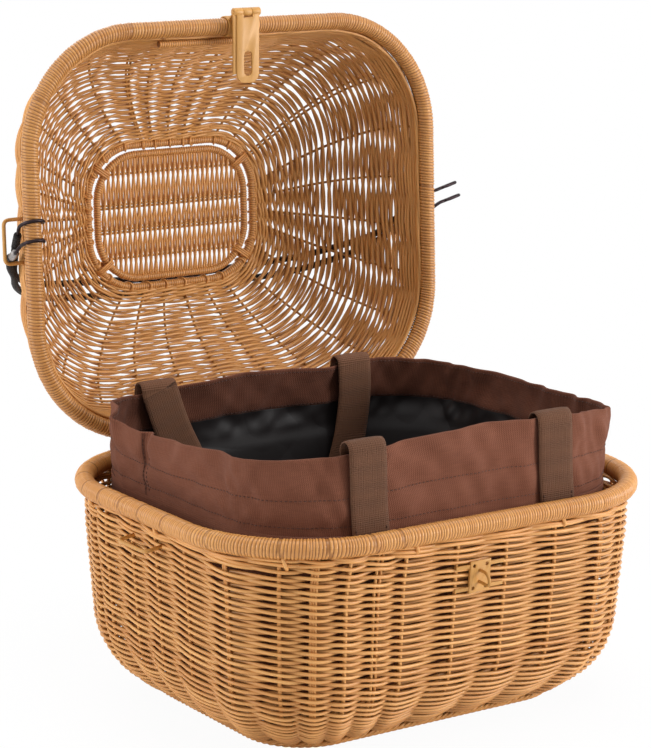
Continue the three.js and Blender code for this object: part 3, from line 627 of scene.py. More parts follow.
def smooth_path(points, per_span):
    """A smooth curve through the points: cubic pieces whose knots are the roots of the distances."""
    p = np.asarray(points, float)
    p = np.concatenate([[2 * p[0] - p[1]], p, [2 * p[-1] - p[-2]]])
    knot = np.sqrt(np.linalg.norm(np.diff(p, axis=0), axis=1))[:, None]
    before, here, after = knot[:-2], knot[1:-1], knot[2:]
    a, b, c, d = p[:-3], p[1:-2], p[2:-1], p[3:]
    leave = ((b - a) / before - (c - a) / (before + here) + (c - b) / here) * here
    reach = ((c - b) / here - (d - b) / (here + after) + (d - c) / after) * here
    t = np.linspace(0, 1, per_span, endpoint=False)[None, :, None]
    b, c, leave, reach = (v[:, None, :] for v in (b, c, leave, reach))
    square = -3 * b + 3 * c - 2 * leave - reach
    cube = 2 * b - 2 * c + leave + reach
    return np.concatenate([(b + leave * t + square * t ** 2 + cube * t ** 3).reshape(-1, 3), p[-2:-1]])


def bent_path(points, bend, per_bend=7):
    """Straight runs whose corners are rounded: each bend is a parabola between points on its two runs."""
    p = np.asarray(points, float)
    back = p[1:-1] + unit(p[:-2] - p[1:-1]) * bend
    on = p[1:-1] + unit(p[2:] - p[1:-1]) * bend
    t = np.linspace(0, 1, per_bend)[None, :, None]
    arcs = back[:, None] * (1 - t) ** 2 + p[1:-1, None] * 2 * t * (1 - t) + on[:, None] * t ** 2
    return np.concatenate([p[:1], arcs.reshape(-1, 3), p[-1:]])


def run_length(path):
    """Distance walked at each point of a path."""
    return np.concatenate([[0], np.cumsum(np.linalg.norm(np.diff(path, axis=0), axis=1))])


def tube(path, radius, sides, up, closed=False):
    """Rings round a path: each ring's first spoke leans to up, square to the path."""
    if closed:
        ahead = unit(np.roll(path, -1, 0) - np.roll(path, 1, 0))
    else:
        ahead = unit(np.gradient(path, axis=0))
    side = unit(np.cross(np.broadcast_to(up, path.shape), ahead))
    first = np.cross(ahead, side)
    a = circle(sides)
    radius = np.broadcast_to(np.asarray(radius, float).reshape(-1, 1, 1), (len(path), 1, 1))
    spokes = first[:, None] * np.cos(a)[None, :, None] + side[:, None] * np.sin(a)[None, :, None]
    return path[:, None] + spokes * radius


class Piece:
    """Grids of points gathered into one mesh, with a UV in metres and numbers kept on the points."""

    # tone differs at random; facing picks the outer or the inner-face colour, which is partly painted shade;
    # groove is painted shade, and painted light where it is below zero
    MARKS = {"tone": 0.5, "facing": 1.0, "groove": 0.0}

    def __init__(self, name):
        self.name = name
        self.count = 0
        self.points, self.corners, self.sizes, self.uv = [], [], [], []
        self.marks = {mark: [] for mark in self.MARKS}

    def add(self, grid, loop=False, shift=0, flip=False, uv=None, **marks):
        """A grid of closed rings: loop joins the last ring to the first, shift slides that join round
        a ring by so many rings, and without loop both ends are capped."""
        rings, sides = grid.shape[:2]
        i, j = np.meshgrid(np.arange(rings if loop else rings - 1), np.arange(sides), indexing="ij")
        i, j = i.ravel(), j.ravel()
        far = (j + 1) // sides
        quad = np.stack([
            i % rings * sides + j,
            (i + 1) % rings * sides + j,
            (i + 1 + far * shift) % rings * sides + (j + 1) % sides,
            (i + far * shift) % rings * sides + (j + 1) % sides,
        ], -1)
        u, v = uv or self.walked(grid)
        corner = np.stack([np.stack([u[i], v[j]], -1), np.stack([u[i + 1], v[j]], -1),
                           np.stack([u[i + 1], v[j + 1]], -1), np.stack([u[i], v[j + 1]], -1)], 1)
        if flip:
            quad, corner = quad[:, ::-1], corner[:, ::-1]
        self.corners.append(quad.ravel() + self.count)
        self.sizes.append(np.full(len(quad), 4))
        self.uv.append(corner.reshape(-1, 2))
        if not loop:
            for ring, turned in ((0, not flip), (rings - 1, flip)):
                face = ring * sides + np.arange(sides)
                self.corners.append((face if turned else face[::-1]) + self.count)
                self.sizes.append(np.array([sides]))
                self.uv.append(np.tile([[u[ring], 0.0]], (sides, 1)))
        self.points.append(grid.reshape(-1, 3))
        for name, kept in self.marks.items():
            value = np.asarray(marks.get(name, self.MARKS[name]), float)
            value = value.reshape(-1, 1) if value.ndim == 1 and len(value) == rings else value
            kept.append(np.broadcast_to(value, (rings, sides)).ravel())
        self.count += rings * sides
        return self

    def walked(self, grid):
        """UV in metres: distance along the middle line, and the mean distance round a ring."""
        middle = grid.mean(1)
        u = run_length(middle)
        u = np.append(u, u[-1] + np.linalg.norm(middle[-1] - middle[0]))
        steps = np.diff(np.concatenate([grid, grid[:, :1]], 1), axis=1)
        v = np.concatenate([[0], np.cumsum(np.linalg.norm(steps, axis=2).mean(0))])
        return u * MM, v * MM

    def build(self, finish, body, *nodes, slot, turn=as_is):
        """The mesh and its object, on its body and in place of its CAD nodes."""
        points = turn(np.concatenate(self.points)) * MM
        loops = np.concatenate(self.corners)
        sizes = np.concatenate(self.sizes)
        mesh = bpy.data.meshes.new(self.name)
        mesh.vertices.add(len(points))
        mesh.vertices.foreach_set("co", points.astype(np.float32).ravel())
        mesh.loops.add(len(loops))
        mesh.loops.foreach_set("vertex_index", loops.astype(np.int32))
        mesh.polygons.add(len(sizes))
        mesh.polygons.foreach_set("loop_start", (np.cumsum(sizes) - sizes).astype(np.int32))
        mesh.polygons.foreach_set("use_smooth", np.ones(len(sizes), bool))
        mesh.update(calc_edges=True)
        uv = mesh.uv_layers.new(name="UVMap")
        uv.data.foreach_set("uv", np.concatenate(self.uv).astype(np.float32).ravel())
        for name, kept in self.marks.items():
            mark = mesh.attributes.new(name, "FLOAT", "POINT")
            mark.data.foreach_set("value", np.concatenate(kept).astype(np.float32))
        return dressed(self.name, mesh, finish, body, nodes)


def dressed(name, mesh, finish, body, nodes):
    """An object of the mesh, with its finish, on its body and in place of its CAD nodes."""
    mesh.materials.append(finishes()[finish])
    made = bpy.data.objects.new(name, mesh)
    bpy.context.scene.collection.objects.link(made)
    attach(made, body)
    if nodes:
        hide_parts(*nodes)
    return made


# Weave

# Places of the stakes along the outline, read from the photograph, and the rods of each doubled stake
TUB_STAKES = [19.8, 41.3, 83.3, 124.8, 166.3, 212.8, 257.8, 296, 335, 374, 410, 445, 480, 515, 555, 600, 640,
              680, 720, 760, 800, 840, 880, 918, 950, 977.5, 1004.5, 1037, 1065.5, 1100, 1152.5, 1210.5,
              1244.5, 1280]
TUB_DOUBLE = {19.8: (-1.7, 1.7), 1152.5: (-1.3, 1.3), 1244.5: (-2.6, 0, 2.6), 212.8: (-1.5, 1.5)}
LID_STAKES = [28, 57, 95, 132, 165, 213, 250, 296, 348, 395, 441, 485, 528, 572, 618, 664, 716, 766,
              816, 862, 905, 948, 990, 1030, 1070, 1110, 1148, 1184, 1222, 1264]
LID_DOUBLE = {28: (-2.0, 2.0), 296: (-2.6, 2.6)}


def spread_stakes(stakes, doubled, single):
    """Every rod's place and share of the radius: a doubled stake is two or three rods side by side."""
    return [(s + d, 1.0 if s in doubled else single) for s in stakes for d in doubled.get(s, (0,))]


def rows_of(pitch_at, start, stop):
    """The number of rows between two places of a profile, and how many are done at places between.

    What is done is the running sum of 1 / pitch, brought to a whole number at the stop."""
    a = np.linspace(start, stop, 2000)
    done = np.concatenate([[0], np.cumsum(np.diff(a) / pitch_at(a[1:]))])
    count = round(done[-1])
    return count, done * count / done[-1], a


def strand_tones(rng, count, shortest=24, longest=70):
    """One tone for each length of cane: steps of random length with a little drift on top."""
    cuts = np.cumsum(rng.integers(shortest, longest, count // shortest + 2))
    tones = rng.normal(0.5, 0.2, len(cuts) + 1)
    steps = tones[np.searchsorted(cuts, np.arange(count))]
    return np.clip(steps + rng.normal(0, 0.05, count), 0, 1)


def twine(piece, wall, stakes, span, part, radius, pitch_at, depth_at, thick_at, loose, shade, seed):
    """Twined rows: two strands in one long spiral down the wall.

    With u counting stakes passed, the strand is out of the wall's middle by depth * cos(pi u) and up or
    down by about a quarter of the row pitch * sin(pi u), and the second strand is half a turn on."""
    count, done, table = rows_of(pitch_at, *span)
    ring = np.append(stakes, stakes[0] + wall.plan.total)
    samples = 7
    first, last = (int(share * count) * len(stakes) * samples for share in part)
    u = np.arange(first, last + 1) / samples
    lap = u / len(stakes)
    whole = np.floor(lap)
    s = whole * wall.plan.total + np.interp(u - whole * len(stakes), np.arange(len(ring)), ring)
    a = np.interp(lap, done, table)
    free = np.interp(a, [8, 20], loose)
    normal = wall.normal(s, a)
    knots = np.arange(count * len(stakes) + 2)
    spokes = np.cos(circle(6))

    def read(values, at=u):
        return np.interp(at, knots, values)

    for strand in (0, 1):
        rng = np.random.default_rng(seed + 31 * strand)
        wander = rng.normal(0, 1, (3, len(knots)))
        phase = math.pi * (u + strand) + 0.10 * read(wander[0])
        drift = read(wander[1]) + 0.9 * read(wander[2], u / 3.7)
        down = a + 0.23 * pitch_at(a) * np.sin(phase) + free * drift
        out = depth_at(a) * np.cos(phase) + 0.1 * read(wander[2])
        centre = wall.at(s, np.maximum(down, 0.2)) + normal * out[:, None]
        thick = radius * (1 + 0.05 * read(rng.normal(0, 1, len(knots)))) * thick_at(s, a)
        tone = read(strand_tones(rng, len(knots)))
        # Painted shade: the groove mark darkens the side of each strand that lies behind the other strand,
        # inside and out
        behind = 0.5 - 0.5 * np.cos(phase)[:, None] * spokes
        piece.add(tube(centre, thick, len(spokes), normal), tone=tone, facing=0.5 + 0.5 * spokes,
                  groove=shade * behind ** 1.3)


def stake_rods(piece, wall, places, radius, start, stop, rng):
    """Upright rods down the profile at each place along the outline."""
    a = np.linspace(start, stop, 40)
    for s, share in places:
        thick = radius * share * (1 + 0.05 * rng.normal())
        piece.add(tube(wall.at(s, a), thick, 8, wall.normal(s, a)), tone=rng.random())


def turn_dip(share):
    """How deep a turn of cane has fallen at a share of its width: half an ellipse, 1 at its edges."""
    return 1 - np.sqrt(np.clip(1 - (2 * share - 1) ** 2, 0, 1))


def wrapped_ring(piece, plan, height, radius, pitch, rng, groove=0.8, sides=16, lean=1, seams=(), samples=5):
    """Cane wound round a rod that is bent into a rounded rectangle.

    Round each turn the radius falls to the groove as a half ellipse does, the turns run lean turns
    along the rod while they go round it once, and each turn has its own tone, width and height.
    At a seam one turn lies deep."""
    ruler, walked = plan.measured(plan.own)
    turns = int(round(walked[-1] / pitch))
    count = turns * samples
    i, j = np.meshgrid(np.arange(count), np.arange(sides), indexing="ij")
    widths = 1 + 0.16 * rng.normal(0, 1, turns).clip(-2, 2)
    edges = np.concatenate([[0], np.cumsum(widths)]) / widths.sum() * walked[-1]
    place = np.mod(i + lean * samples * j / sides, count)
    along = np.interp(place / samples, np.arange(turns + 1), edges)
    spot, normal = plan.at(np.interp(along, walked, ruler), *plan.own)
    dip = turn_dip((i % samples) / samples)
    lift = rng.normal(0, 0.1, turns).clip(-0.2, 0.1)
    lift[np.searchsorted(edges, np.interp(seams, ruler, walked)) - 1] = -0.6
    lift = lift[i // samples]
    r = radius - 0.12 - groove * dip + lift * (1 - dip)
    angle = 2 * math.pi * j / sides
    grid = lifted(spot + normal * (r * np.cos(angle))[..., None], height + r * np.sin(angle))
    tone = np.clip(0.55 + 0.14 * rng.normal(0, 1, turns) + 0.12 * np.sin(np.arange(turns) / 17.0), 0, 1)
    u = np.arange(count + 1) * (walked[-1] / count) * MM
    v = np.linspace(0, 2 * math.pi * radius, sides + 1) * MM
    # Painted shade: the groove mark darkens each turn towards its edges, and the whole of a turn that lies
    # deep at a seam
    return piece.add(grid, loop=True, shift=lean * samples, uv=(u, v),
                     tone=tone[i // samples], groove=np.maximum(dip ** 2, 0.5 * (lift < -0.5)))


def wrapped_bar(piece, start, stop, radius, pitch, rng, groove=0.6, sides=12, samples=5):
    """Cane wound round a straight rod, with the same turns as on a ring."""
    start, stop = np.asarray(start, float), np.asarray(stop, float)
    turns = int(np.linalg.norm(stop - start) / pitch)
    count = turns * samples + 1
    path = start + (stop - start) * np.linspace(0, 1, count)[:, None]
    dip = turn_dip(np.arange(count) % samples / samples)
    tone = np.repeat(rng.normal(0.5, 0.14, turns + 1).clip(0, 1), samples)[:count]
    # Painted shade: the groove mark darkens the recesses between the turns
    return piece.add(tube(path, radius - groove * dip, sides, np.array([0.1, 0.2, 1.0])), tone=tone,
                     groove=dip ** 2)


def half_length(off, half, other_half, corner):
    """Half the length of a line across a rounded rectangle, so far off and square to its other half."""
    past = np.maximum(np.abs(off) - (other_half - corner), 0)
    return half - corner + np.sqrt(np.maximum(corner ** 2 - past ** 2, 0))


def flat_twine(piece, halves, z, crossings, pitch, radius, depth, rng):
    """A flat sheet of twisted pairs that run front to back through rods laid from side to side.

    Between two rods a pair makes half a twist: the strands lie depth * cos(phase) above or below
    and pitch / 4 * sin(phase) beside the pair's own line, and each line ends on the outline."""
    half_x, half_y, corner = halves
    count = int(2 * (half_x - 2) / pitch)
    lines = (np.arange(count) - (count - 1) / 2) * pitch
    knots = np.concatenate([[-half_y - 12], crossings, [half_y + 12]])
    for x, end in zip(lines, half_length(lines, half_y, half_x, corner)):
        y = np.linspace(-end, end, max(10, int(2 * end / 2.6)))
        lap = np.interp(y, knots, np.arange(len(knots)))
        bow = rng.normal(0, 0.25)
        for strand in (0, 1):
            phase = math.pi * (lap + strand)
            aside = x + pitch / 4 * np.sin(phase) + bow * np.cos(y / 31)
            path = np.stack([aside, y, z + depth * np.cos(phase)], -1)
            grid = tube(path, radius * (1 + 0.05 * rng.normal()), 6, UP)
            piece.add(grid, tone=np.clip(rng.normal(0.5, 0.2), 0, 1), facing=0.5 + 0.5 * np.cos(circle(6)))


def cross_rods(piece, halves, z, places, radius, rng):
    """Straight rods laid from side to side between the ends of the outline."""
    half_x, half_y, corner = halves
    for y in places:
        end = half_length(y, half_x, half_y, corner)
        path = np.stack([np.linspace(-end, end, 24), np.full(24, y), np.full(24, z)], -1)
        piece.add(tube(path, radius, 6, UP), tone=rng.random())


class BASKET_OT_tub_weave(bpy.types.Operator):
    """Twined rows and upright stakes of the tub's wall"""

    bl_idname = "basket.tub_weave"
    bl_label = "Tub weave"

    def execute(self, context):
        w = values_of(context.scene.basket_weave)
        wall = tub_wall(WEAVE_INSET, RIM_Z - 6.1, 8.2)
        last = wall.length
        pitch_at = between((8, 3.5), (14, w.row), (120, w.row), (last, w.foot_row))
        depth_at = between((112, w.depth), (135, w.depth + 0.9))

        def thick_at(s, a):
            return np.interp(a, [8, 14, 125, last], [1.05, 1.0, 1.0, 0.9])

        for name, part, nodes in (("tub_weave_upper", (0, 0.5), ["base_wall"]),
                                  ("tub_weave_lower", (0.5, 1), [])):
            piece = Piece(name)
            twine(piece, wall, TUB_STAKES, (1.0, last), part, w.strand, pitch_at, depth_at, thick_at,
                  loose=(1.1, 0.24), shade=0.75, seed=w.seed)
            piece.build("cane", "tub", *nodes, slot="cane_outside")
        stakes = Piece("tub_stakes")
        rods = spread_stakes(TUB_STAKES, TUB_DOUBLE, 1.35)
        stake_rods(stakes, wall, rods, w.stake, -3.0, last, np.random.default_rng(w.seed))
        self.spare_ends(stakes, wall, w.strand)
        stakes.build("cane", "tub", slot="cane_outside")
        return {"FINISHED"}

    def spare_ends(self, stakes, wall, radius):
        """Short ends of cane tucked under the rim beside every third stake."""
        a = np.linspace(0, 10, 12)
        out = np.interp(a, [0, 7, 10], [4.4, 4.2, 1.0])
        for place in TUB_STAKES[1::3]:
            s = place + 3.5 + np.linspace(0, 4, 12)
            normal = wall.normal(s, 1.0)
            stakes.add(tube(wall.at(s, a) + normal * out[:, None], radius, 7, normal), tone=0.6)


class BASKET_OT_lid_weave(bpy.types.Operator):
    """Twined rows and stakes of the lid's dome"""

    bl_idname = "basket.lid_weave"
    bl_label = "Lid weave"

    def execute(self, context):
        w = values_of(context.scene.basket_weave)
        wall = lid_wall(WEAVE_INSET - 0.2, 1.2, math.radians(89.2))
        last = wall.length
        pitch_at = between((8, 2.3), (14, 3.4), (20, 4.0), (34, 5.2), (116, 5.2), (120, 4.5), (132, 4.5),
                           (136, 5.2), (last - 16, 5.0), (last - 10, 3.4), (last, 3.0))
        depth_at = between((7, 0.4), (13, w.lid_depth), (last - 12, w.lid_depth), (last - 4, 1.0))

        def thick_at(s, a):
            return 1 + 0.18 * np.cos(2 * math.pi * (s - 440) / LID_PLAN.total)

        for name, part, nodes in (("lid_weave_rim_side", (0, 0.5), ["lid_wall"]),
                                  ("lid_weave_crown_side", (0.5, 1), [])):
            piece = Piece(name)
            twine(piece, wall, LID_STAKES, (0.4, last), part, w.lid_strand, pitch_at, depth_at, thick_at,
                  loose=(0.3, 0.42), shade=0.45, seed=w.seed + 5)
            piece.build("cane", "lid", *nodes, slot="cane_outside", turn=opened)
        rng = np.random.default_rng(w.seed + 1)
        rods = spread_stakes(LID_STAKES, LID_DOUBLE, 1.0)
        stakes = Piece("lid_stakes")
        stake_rods(stakes, wall, rods, w.stake, 2.0, last, rng)
        stakes.build("stake", "lid", slot="cane_outside", turn=opened)
        ends = Piece("lid_stake_ends")
        for s, _ in rods:
            self.end_turn(ends, s, rng)
        ends.build("ring", "lid", slot="cane_inside", turn=opened)
        return {"FINISHED"}

    def end_turn(self, ends, s, rng):
        """The end of one rod, turned once round the crown ring and leaning along it."""
        a = circle(28)
        spot, normal = LID_PLAN.at(np.full(len(a), s + rng.normal(0, 3)), *CROWN)
        along = np.stack([-normal[:, 1], normal[:, 0]], -1)
        r = CROWN_RADIUS + 0.25
        spot = spot + normal * (r * np.cos(a))[:, None] + along * (rng.normal(2.4, 0.6) * np.sin(a))[:, None]
        grid = tube(lifted(spot, CROWN_Z + r * np.sin(a)), 0.9, 6, np.array([0.01, 0.02, 1.0]), closed=True)
        ends.add(grid, loop=True, tone=rng.random(), facing=0.5)


class BASKET_OT_rims(bpy.types.Operator):
    """Wrapped rims of the tub and the lid"""

    bl_idname = "basket.rims"
    bl_label = "Wrapped rims"

    def execute(self, context):
        w = values_of(context.scene.basket_weave)
        rng = np.random.default_rng(w.seed + 2)
        seams = [s for s in TUB_STAKES if s > 800] + [19.5, 330, 640]
        base = wrapped_ring(Piece("base_rim_wrap"), TUB_PLAN, RIM_Z, RIM_RADIUS, w.rim_wrap, rng, seams=seams)
        base.build("wrap", "tub", "base_rim", slot="cane_outside")
        lid = wrapped_ring(Piece("lid_rim_wrap"), LID_PLAN, 0.0, LID_RIM_RADIUS, w.rim_wrap, rng, lean=2,
                           seams=(1172, 1276, 400))
        lid.build("wrap_lid", "lid", "lid_rim", slot="cane_outside", turn=opened)
        return {"FINISHED"}


class BASKET_OT_top(bpy.types.Operator):
    """Wrapped rings and the woven panel in the lid's top, its ties, and the rod inside the front"""

    bl_idname = "basket.top"
    bl_label = "Lid top"

    def execute(self, context):
        w = values_of(context.scene.basket_weave)
        rng = np.random.default_rng(w.seed + 3)
        for name, halves, radius in (("crown_ring", CROWN, CROWN_RADIUS), ("panel_ring", PANEL_RING, 3.4)):
            ring = wrapped_ring(Piece(f"{name}_wrap"), Plan(*halves), CROWN_Z, radius, w.ring_wrap, rng,
                                groove=0.55, sides=12)
            ring.build("ring", "lid", name, slot="cane_inside", turn=opened)
        weave = Piece("panel_weave_pairs")
        flat_twine(weave, PANEL, CROWN_Z, PANEL_CROSSINGS, w.panel_pair, w.lid_strand * 0.88, 1.25, rng)
        weave.build("cane", "lid", "panel_weave", slot="cane_inside", turn=opened)
        across = Piece("panel_rods")
        cross_rods(across, PANEL, CROWN_Z, PANEL_RODS, 1.1, rng)
        across.build("stake", "lid", slot="cane_inside", turn=opened)
        bar = wrapped_bar(Piece("lid_front_rod_wrap"), (-70, -153.1, 7), (16, -153.1, 7), 3.0, 2.2, rng)
        bar.build("ring", "lid", "lid_front_rod", slot="cane_inside", turn=opened)
        for number, ways in enumerate(((-1, -1), (1, -1), (-1, 1), (1, 1)), 1):
            tie = self.tie(Piece(f"panel_tie_turns_{number}"), ways, rng)
            tie.build("ring", "lid", f"panel_tie_{number}", slot="cane_inside", turn=opened)
        return {"FINISHED"}

    def on_corner(self, half_x, half_y, corner):
        """Where a ring's middle line passes at 38 degrees of its corner."""
        turn = math.radians(38)
        out = np.array([math.cos(turn), math.sin(turn)])
        return np.array([half_x - corner, half_y - corner]) + out * corner

    def tie(self, tie, ways, rng):
        """Three turns of cane side by side, round both rings at one of their corners."""
        outer, inner = self.on_corner(*CROWN), self.on_corner(*PANEL_RING)
        middle = (outer + inner) / 2 * ways
        half = np.linalg.norm(outer - inner) / 2
        ahead = unit(outer - inner) * ways
        aside = np.array([-ahead[1], ahead[0]])
        a = circle(36)
        for turn in (-1, 0, 1):
            bend = 4.4 + 0.1 * turn
            along = np.sign(np.cos(a)) * half * (np.abs(np.cos(a)) > 0.05) + bend * np.cos(a)
            off = turn * 1.8 + 0.5 * np.sin(a)
            path = lifted(middle + ahead * along[:, None] + aside * off[:, None], CROWN_Z + bend * np.sin(a))
            tie.add(tube(path, 0.95, 6, np.array([*aside, 0.0]), closed=True), loop=True, tone=rng.random())
        return tie


class BASKET_OT_border(bpy.types.Operator):
    """Rolled braid round the foot and the woven floor inside it"""

    bl_idname = "basket.border"
    bl_label = "Border and floor"

    def execute(self, context):
        self.braid()
        rng = np.random.default_rng(context.scene.basket_weave.seed + 4)
        floor = Piece("floor_weave")
        rods = np.linspace(-88, 88, 9)
        flat_twine(floor, FLOOR, FLOOR_Z, rods, 5.6, 1.3, 1.3, rng)
        cross_rods(floor, FLOOR, FLOOR_Z, rods, 1.2, rng)
        floor.build("cane", "tub", slot="cane_outside")
        return {"FINISHED"}

    def braid(self):
        """Four strands that twist round each other, once in about 24 mm, along the edge of the floor."""
        halves = tub_halves(tub_inset(BORDER_Z, 0), BORDER_Z)
        ruler, walked = TUB_PLAN.measured(halves)
        along = np.linspace(0, walked[-1], 760, endpoint=False)
        spot, normal = TUB_PLAN.at(np.interp(along, walked, ruler), *halves)
        twists = round(walked[-1] / 24)
        braid = Piece("bottom_braid")
        for strand in range(4):
            a = 2 * math.pi * (along / walked[-1] * twists + strand / 4)
            off = 1.55 + 0.12 * np.sin(3 * a)
            path = lifted(spot + normal * (off * np.cos(a))[:, None], BORDER_Z + off * np.sin(a))
            braid.add(tube(path, 1.42, 7, UP, closed=True), loop=True,
                      tone=np.clip(0.5 + 0.2 * np.sin(along / 90 + strand), 0, 1))
        braid.build("cane", "tub", "bottom_border", slot="cane_outside")


# Bag
EDGE_USUAL = 60

# Places along the outline and the heights of the bag's edge over the rim, read from the photograph
EDGE_S = [19.8, 54.9, 113, 159.5, 230, 300, 419, 553.8, 618.8, 672, 762.8, 853, 979.8, 1007, 1055.8, 1106,
          1180, 1244.8]
EDGE_H = [64, 67, 70, 69, 65, 60, 58, 57, 60, 57, 62, 55, 62, 51, 53, 57, 60, 62]
SIDE_SEAM = 1027
STITCH_ROWS = (0.11, 0.47)
HEM_ROW = 0.955

# Pinches of the collar: place along the outline, width, how far out, and how far it slants up to the edge
PINCHES = ((236, 11, -1.0, 14), (300, 9, 0.9, -10), (345, 7, -1.3, 12), (418, 8, 1.2, -16),
           (470, 10, -1.2, 10), (545, 9, 1.0, 12), (1000, 8, 1.4, -8), (SIDE_SEAM, 4, -1.7, 4),
           (1062, 10, 0.9, 14), (1130, 13, -0.9, -12), (1215, 15, 0.8, 18), (60, 16, -0.7, -14),
           (150, 13, 0.8, 10))

# Handles: leg is half the way between the legs, and sag is the hanging loop in shares of it and of the drop
HANDLE_FOOT = 141.5
HANDLE_LOW = 107.5
HANDLES = {
    "front": SimpleNamespace(
        side=-1, leg=89, middle=-6, place=FRONT_MIDDLE - 6, groove=0.0,
        sag=[[-math.cos(t), math.sin(t)] for t in np.linspace(0, math.pi, 9)]),
    # groove below zero is painted light: the rear handle hangs in shade and is made lighter
    "rear": SimpleNamespace(
        side=1, leg=98, middle=-4, place=REAR_MIDDLE + 4, groove=-0.3,
        sag=[[-1, 0], [-0.9, 0.2], [-0.77, 0.4], [-0.5, 0.74], [-0.05, 0.97], [0.4, 0.98], [0.8, 0.84],
             [0.97, 0.55], [1.02, 0.25], [1, 0]]),
}


def edge_height(s):
    """Height of the bag's wavy edge: the heights read at places, with all quick changes smoothed out."""
    total = TUB_PLAN.total
    fine = np.linspace(0, total, 1286, endpoint=False)
    waves = np.fft.rfft(np.interp(fine, EDGE_S, EDGE_H, period=total))
    soft = np.fft.irfft(waves * np.exp(-(np.arange(len(waves)) / 26) ** 2), len(fine))
    return RIM_Z + np.interp(s, fine, soft, period=total)


def collar_halves(z):
    """Half width, half depth and corner of the collar's outer face."""
    k = np.maximum(z - COLLAR_Z, 0) / COLLAR_HEIGHT
    below = WALL_LEAN * np.minimum(z - COLLAR_Z, 0)
    half_x, half_y, corner = (foot + k * gain for foot, gain in zip(COLLAR_FOOT, COLLAR_GAIN))
    return half_x + below, half_y + below, corner


def collar_fold(s, rise):
    """How far the standing cloth folds out, as a share of the fold's depth, at s and a share of its height.

    Waves grow towards the edge, slanting creases are deepest half way up, pinches stand where they are
    seen, small wrinkles cross them all, and the cloth rolls out between the rows of stitches. Where a
    handle is sewn on, the cloth is pressed flat."""
    rise = np.maximum(rise, 0)
    turn = 2 * math.pi * s / TUB_PLAN.total

    def wave(count, slant=0, start=0.0):
        return np.sin(count * turn + slant * rise + start)

    def roll(low, high):
        return np.sin(math.pi * np.clip((rise - low) / (high - low), 0, 1))

    waves = wave(9, start=0.6) + 0.7 * wave(14, start=2.1) + 0.45 * wave(23, start=4.0)
    creases = (wave(7, 6) + 0.7 * wave(19, -7, 1) + 0.5 * wave(31, 9)) * np.sin(math.pi * rise)
    wrinkles = (0.13 * wave(61, 9) * wave(5, start=2) + 0.11 * wave(47, -14, 2) * wave(8)
                + 0.10 * wave(33, 17) * wave(3, start=1))
    fold = (0.15 + 0.85 * rise ** 1.3) * waves * 0.55 + creases * 0.3 + wrinkles * np.clip(rise * 6, 0, 1)
    fold = fold + 0.4 * roll(*STITCH_ROWS) + 0.3 * roll(STITCH_ROWS[1], 0.95)
    for place, width, amount, slant in PINCHES:
        away = TUB_PLAN.away(s, place + slant * rise)
        fold = fold + amount * np.exp(-(away / width) ** 2) * rise ** 1.5
    legs = [handle.place + handle.leg * way for handle in HANDLES.values() for way in (-1, 1)]
    pressed = sum(np.exp(-(TUB_PLAN.away(s, leg) / 24) ** 4) for leg in legs)
    return fold * (1 - pressed) - 0.05 * pressed


def collar_point(s, rise, inside, fold):
    """A point of the collar at s, at a share of its height, some way inside the outer face."""
    s, rise, inside = np.broadcast_arrays(np.asarray(s, float), rise, inside)
    z = SPLIT_Z + rise * (edge_height(s) - SPLIT_Z)
    spot, normal = TUB_PLAN.at(s, *collar_halves(z))
    return lifted(spot + normal * (collar_fold(s, rise) * fold - 1.2 - inside)[..., None], z)


# One stitch: share of its length, height over the cloth and share of the thread's radius
STITCH = np.array([[0.12, -0.3, 0.5], [0.3, 0.25, 0.95], [0.5, 0.38, 1.0], [0.7, 0.25, 0.95],
                   [0.88, -0.3, 0.5]])


def stitches(piece, path, normal, pitch, radius=0.35):
    """A row of stitches: short threads that dive into the cloth at both ends."""
    share, lift, thick = STITCH.T
    walked = run_length(path)
    at = (np.arange(int(walked[-1] / pitch))[:, None] + share) * pitch
    centre = np.stack([np.interp(at, walked, path[:, k]) for k in range(3)], -1)
    out = np.stack([np.interp(at, walked, normal[:, k]) for k in range(3)], -1)
    centre = centre + out * lift[:, None]
    side = unit(np.cross(out, unit(centre[:, -1:] - centre[:, :1])))
    a = circle(5)[:, None]
    spokes = out[:, :, None] * np.cos(a) + side[:, :, None] * np.sin(a)
    for grid in centre[:, :, None] + spokes * (radius * thick)[:, None, None]:
        piece.add(grid)


def cup_face(inside, low, slack, drawn_in):
    """One face of the bag below the split: down the tub, slack in folds, then over its flat floor.

    drawn_in is how far the top is pulled inward. The bag is seen narrower from side to side than the tub."""
    face = tub_wall(inside, SPLIT_Z - 0.2, low)
    s = np.linspace(0, TUB_PLAN.total, 420, endpoint=False)
    a = np.linspace(0, face.length, 34)[:, None]
    turn = 2 * math.pi * s / TUB_PLAN.total
    depth = a / face.length
    wave = np.sin(10 * turn + 3 * depth) + 0.8 * np.sin(17 * turn + 5 * depth + 1)
    wave = (wave + 0.5 * np.sin(27 * turn - 4 * depth)) / 2.3
    normal = face.normal(s, a)
    folded = slack * np.sin(math.pi * np.clip(depth, 0, 1)) ** 1.6 * (wave * 0.5 + 0.5)
    grid = (face.at(s, a) - normal * folded[..., None]) * [BAG_WIDTH_SHARE, 1, 1]
    grid = grid - normal * (drawn_in * np.clip(1 - a / 25, 0, 1))[..., None]
    shares = np.array([0.75, 0.5, 0.25, 0.02])[:, None, None]
    return np.concatenate([grid, lifted(grid[-1, :, :2] * shares, grid[-1, :, 2])])


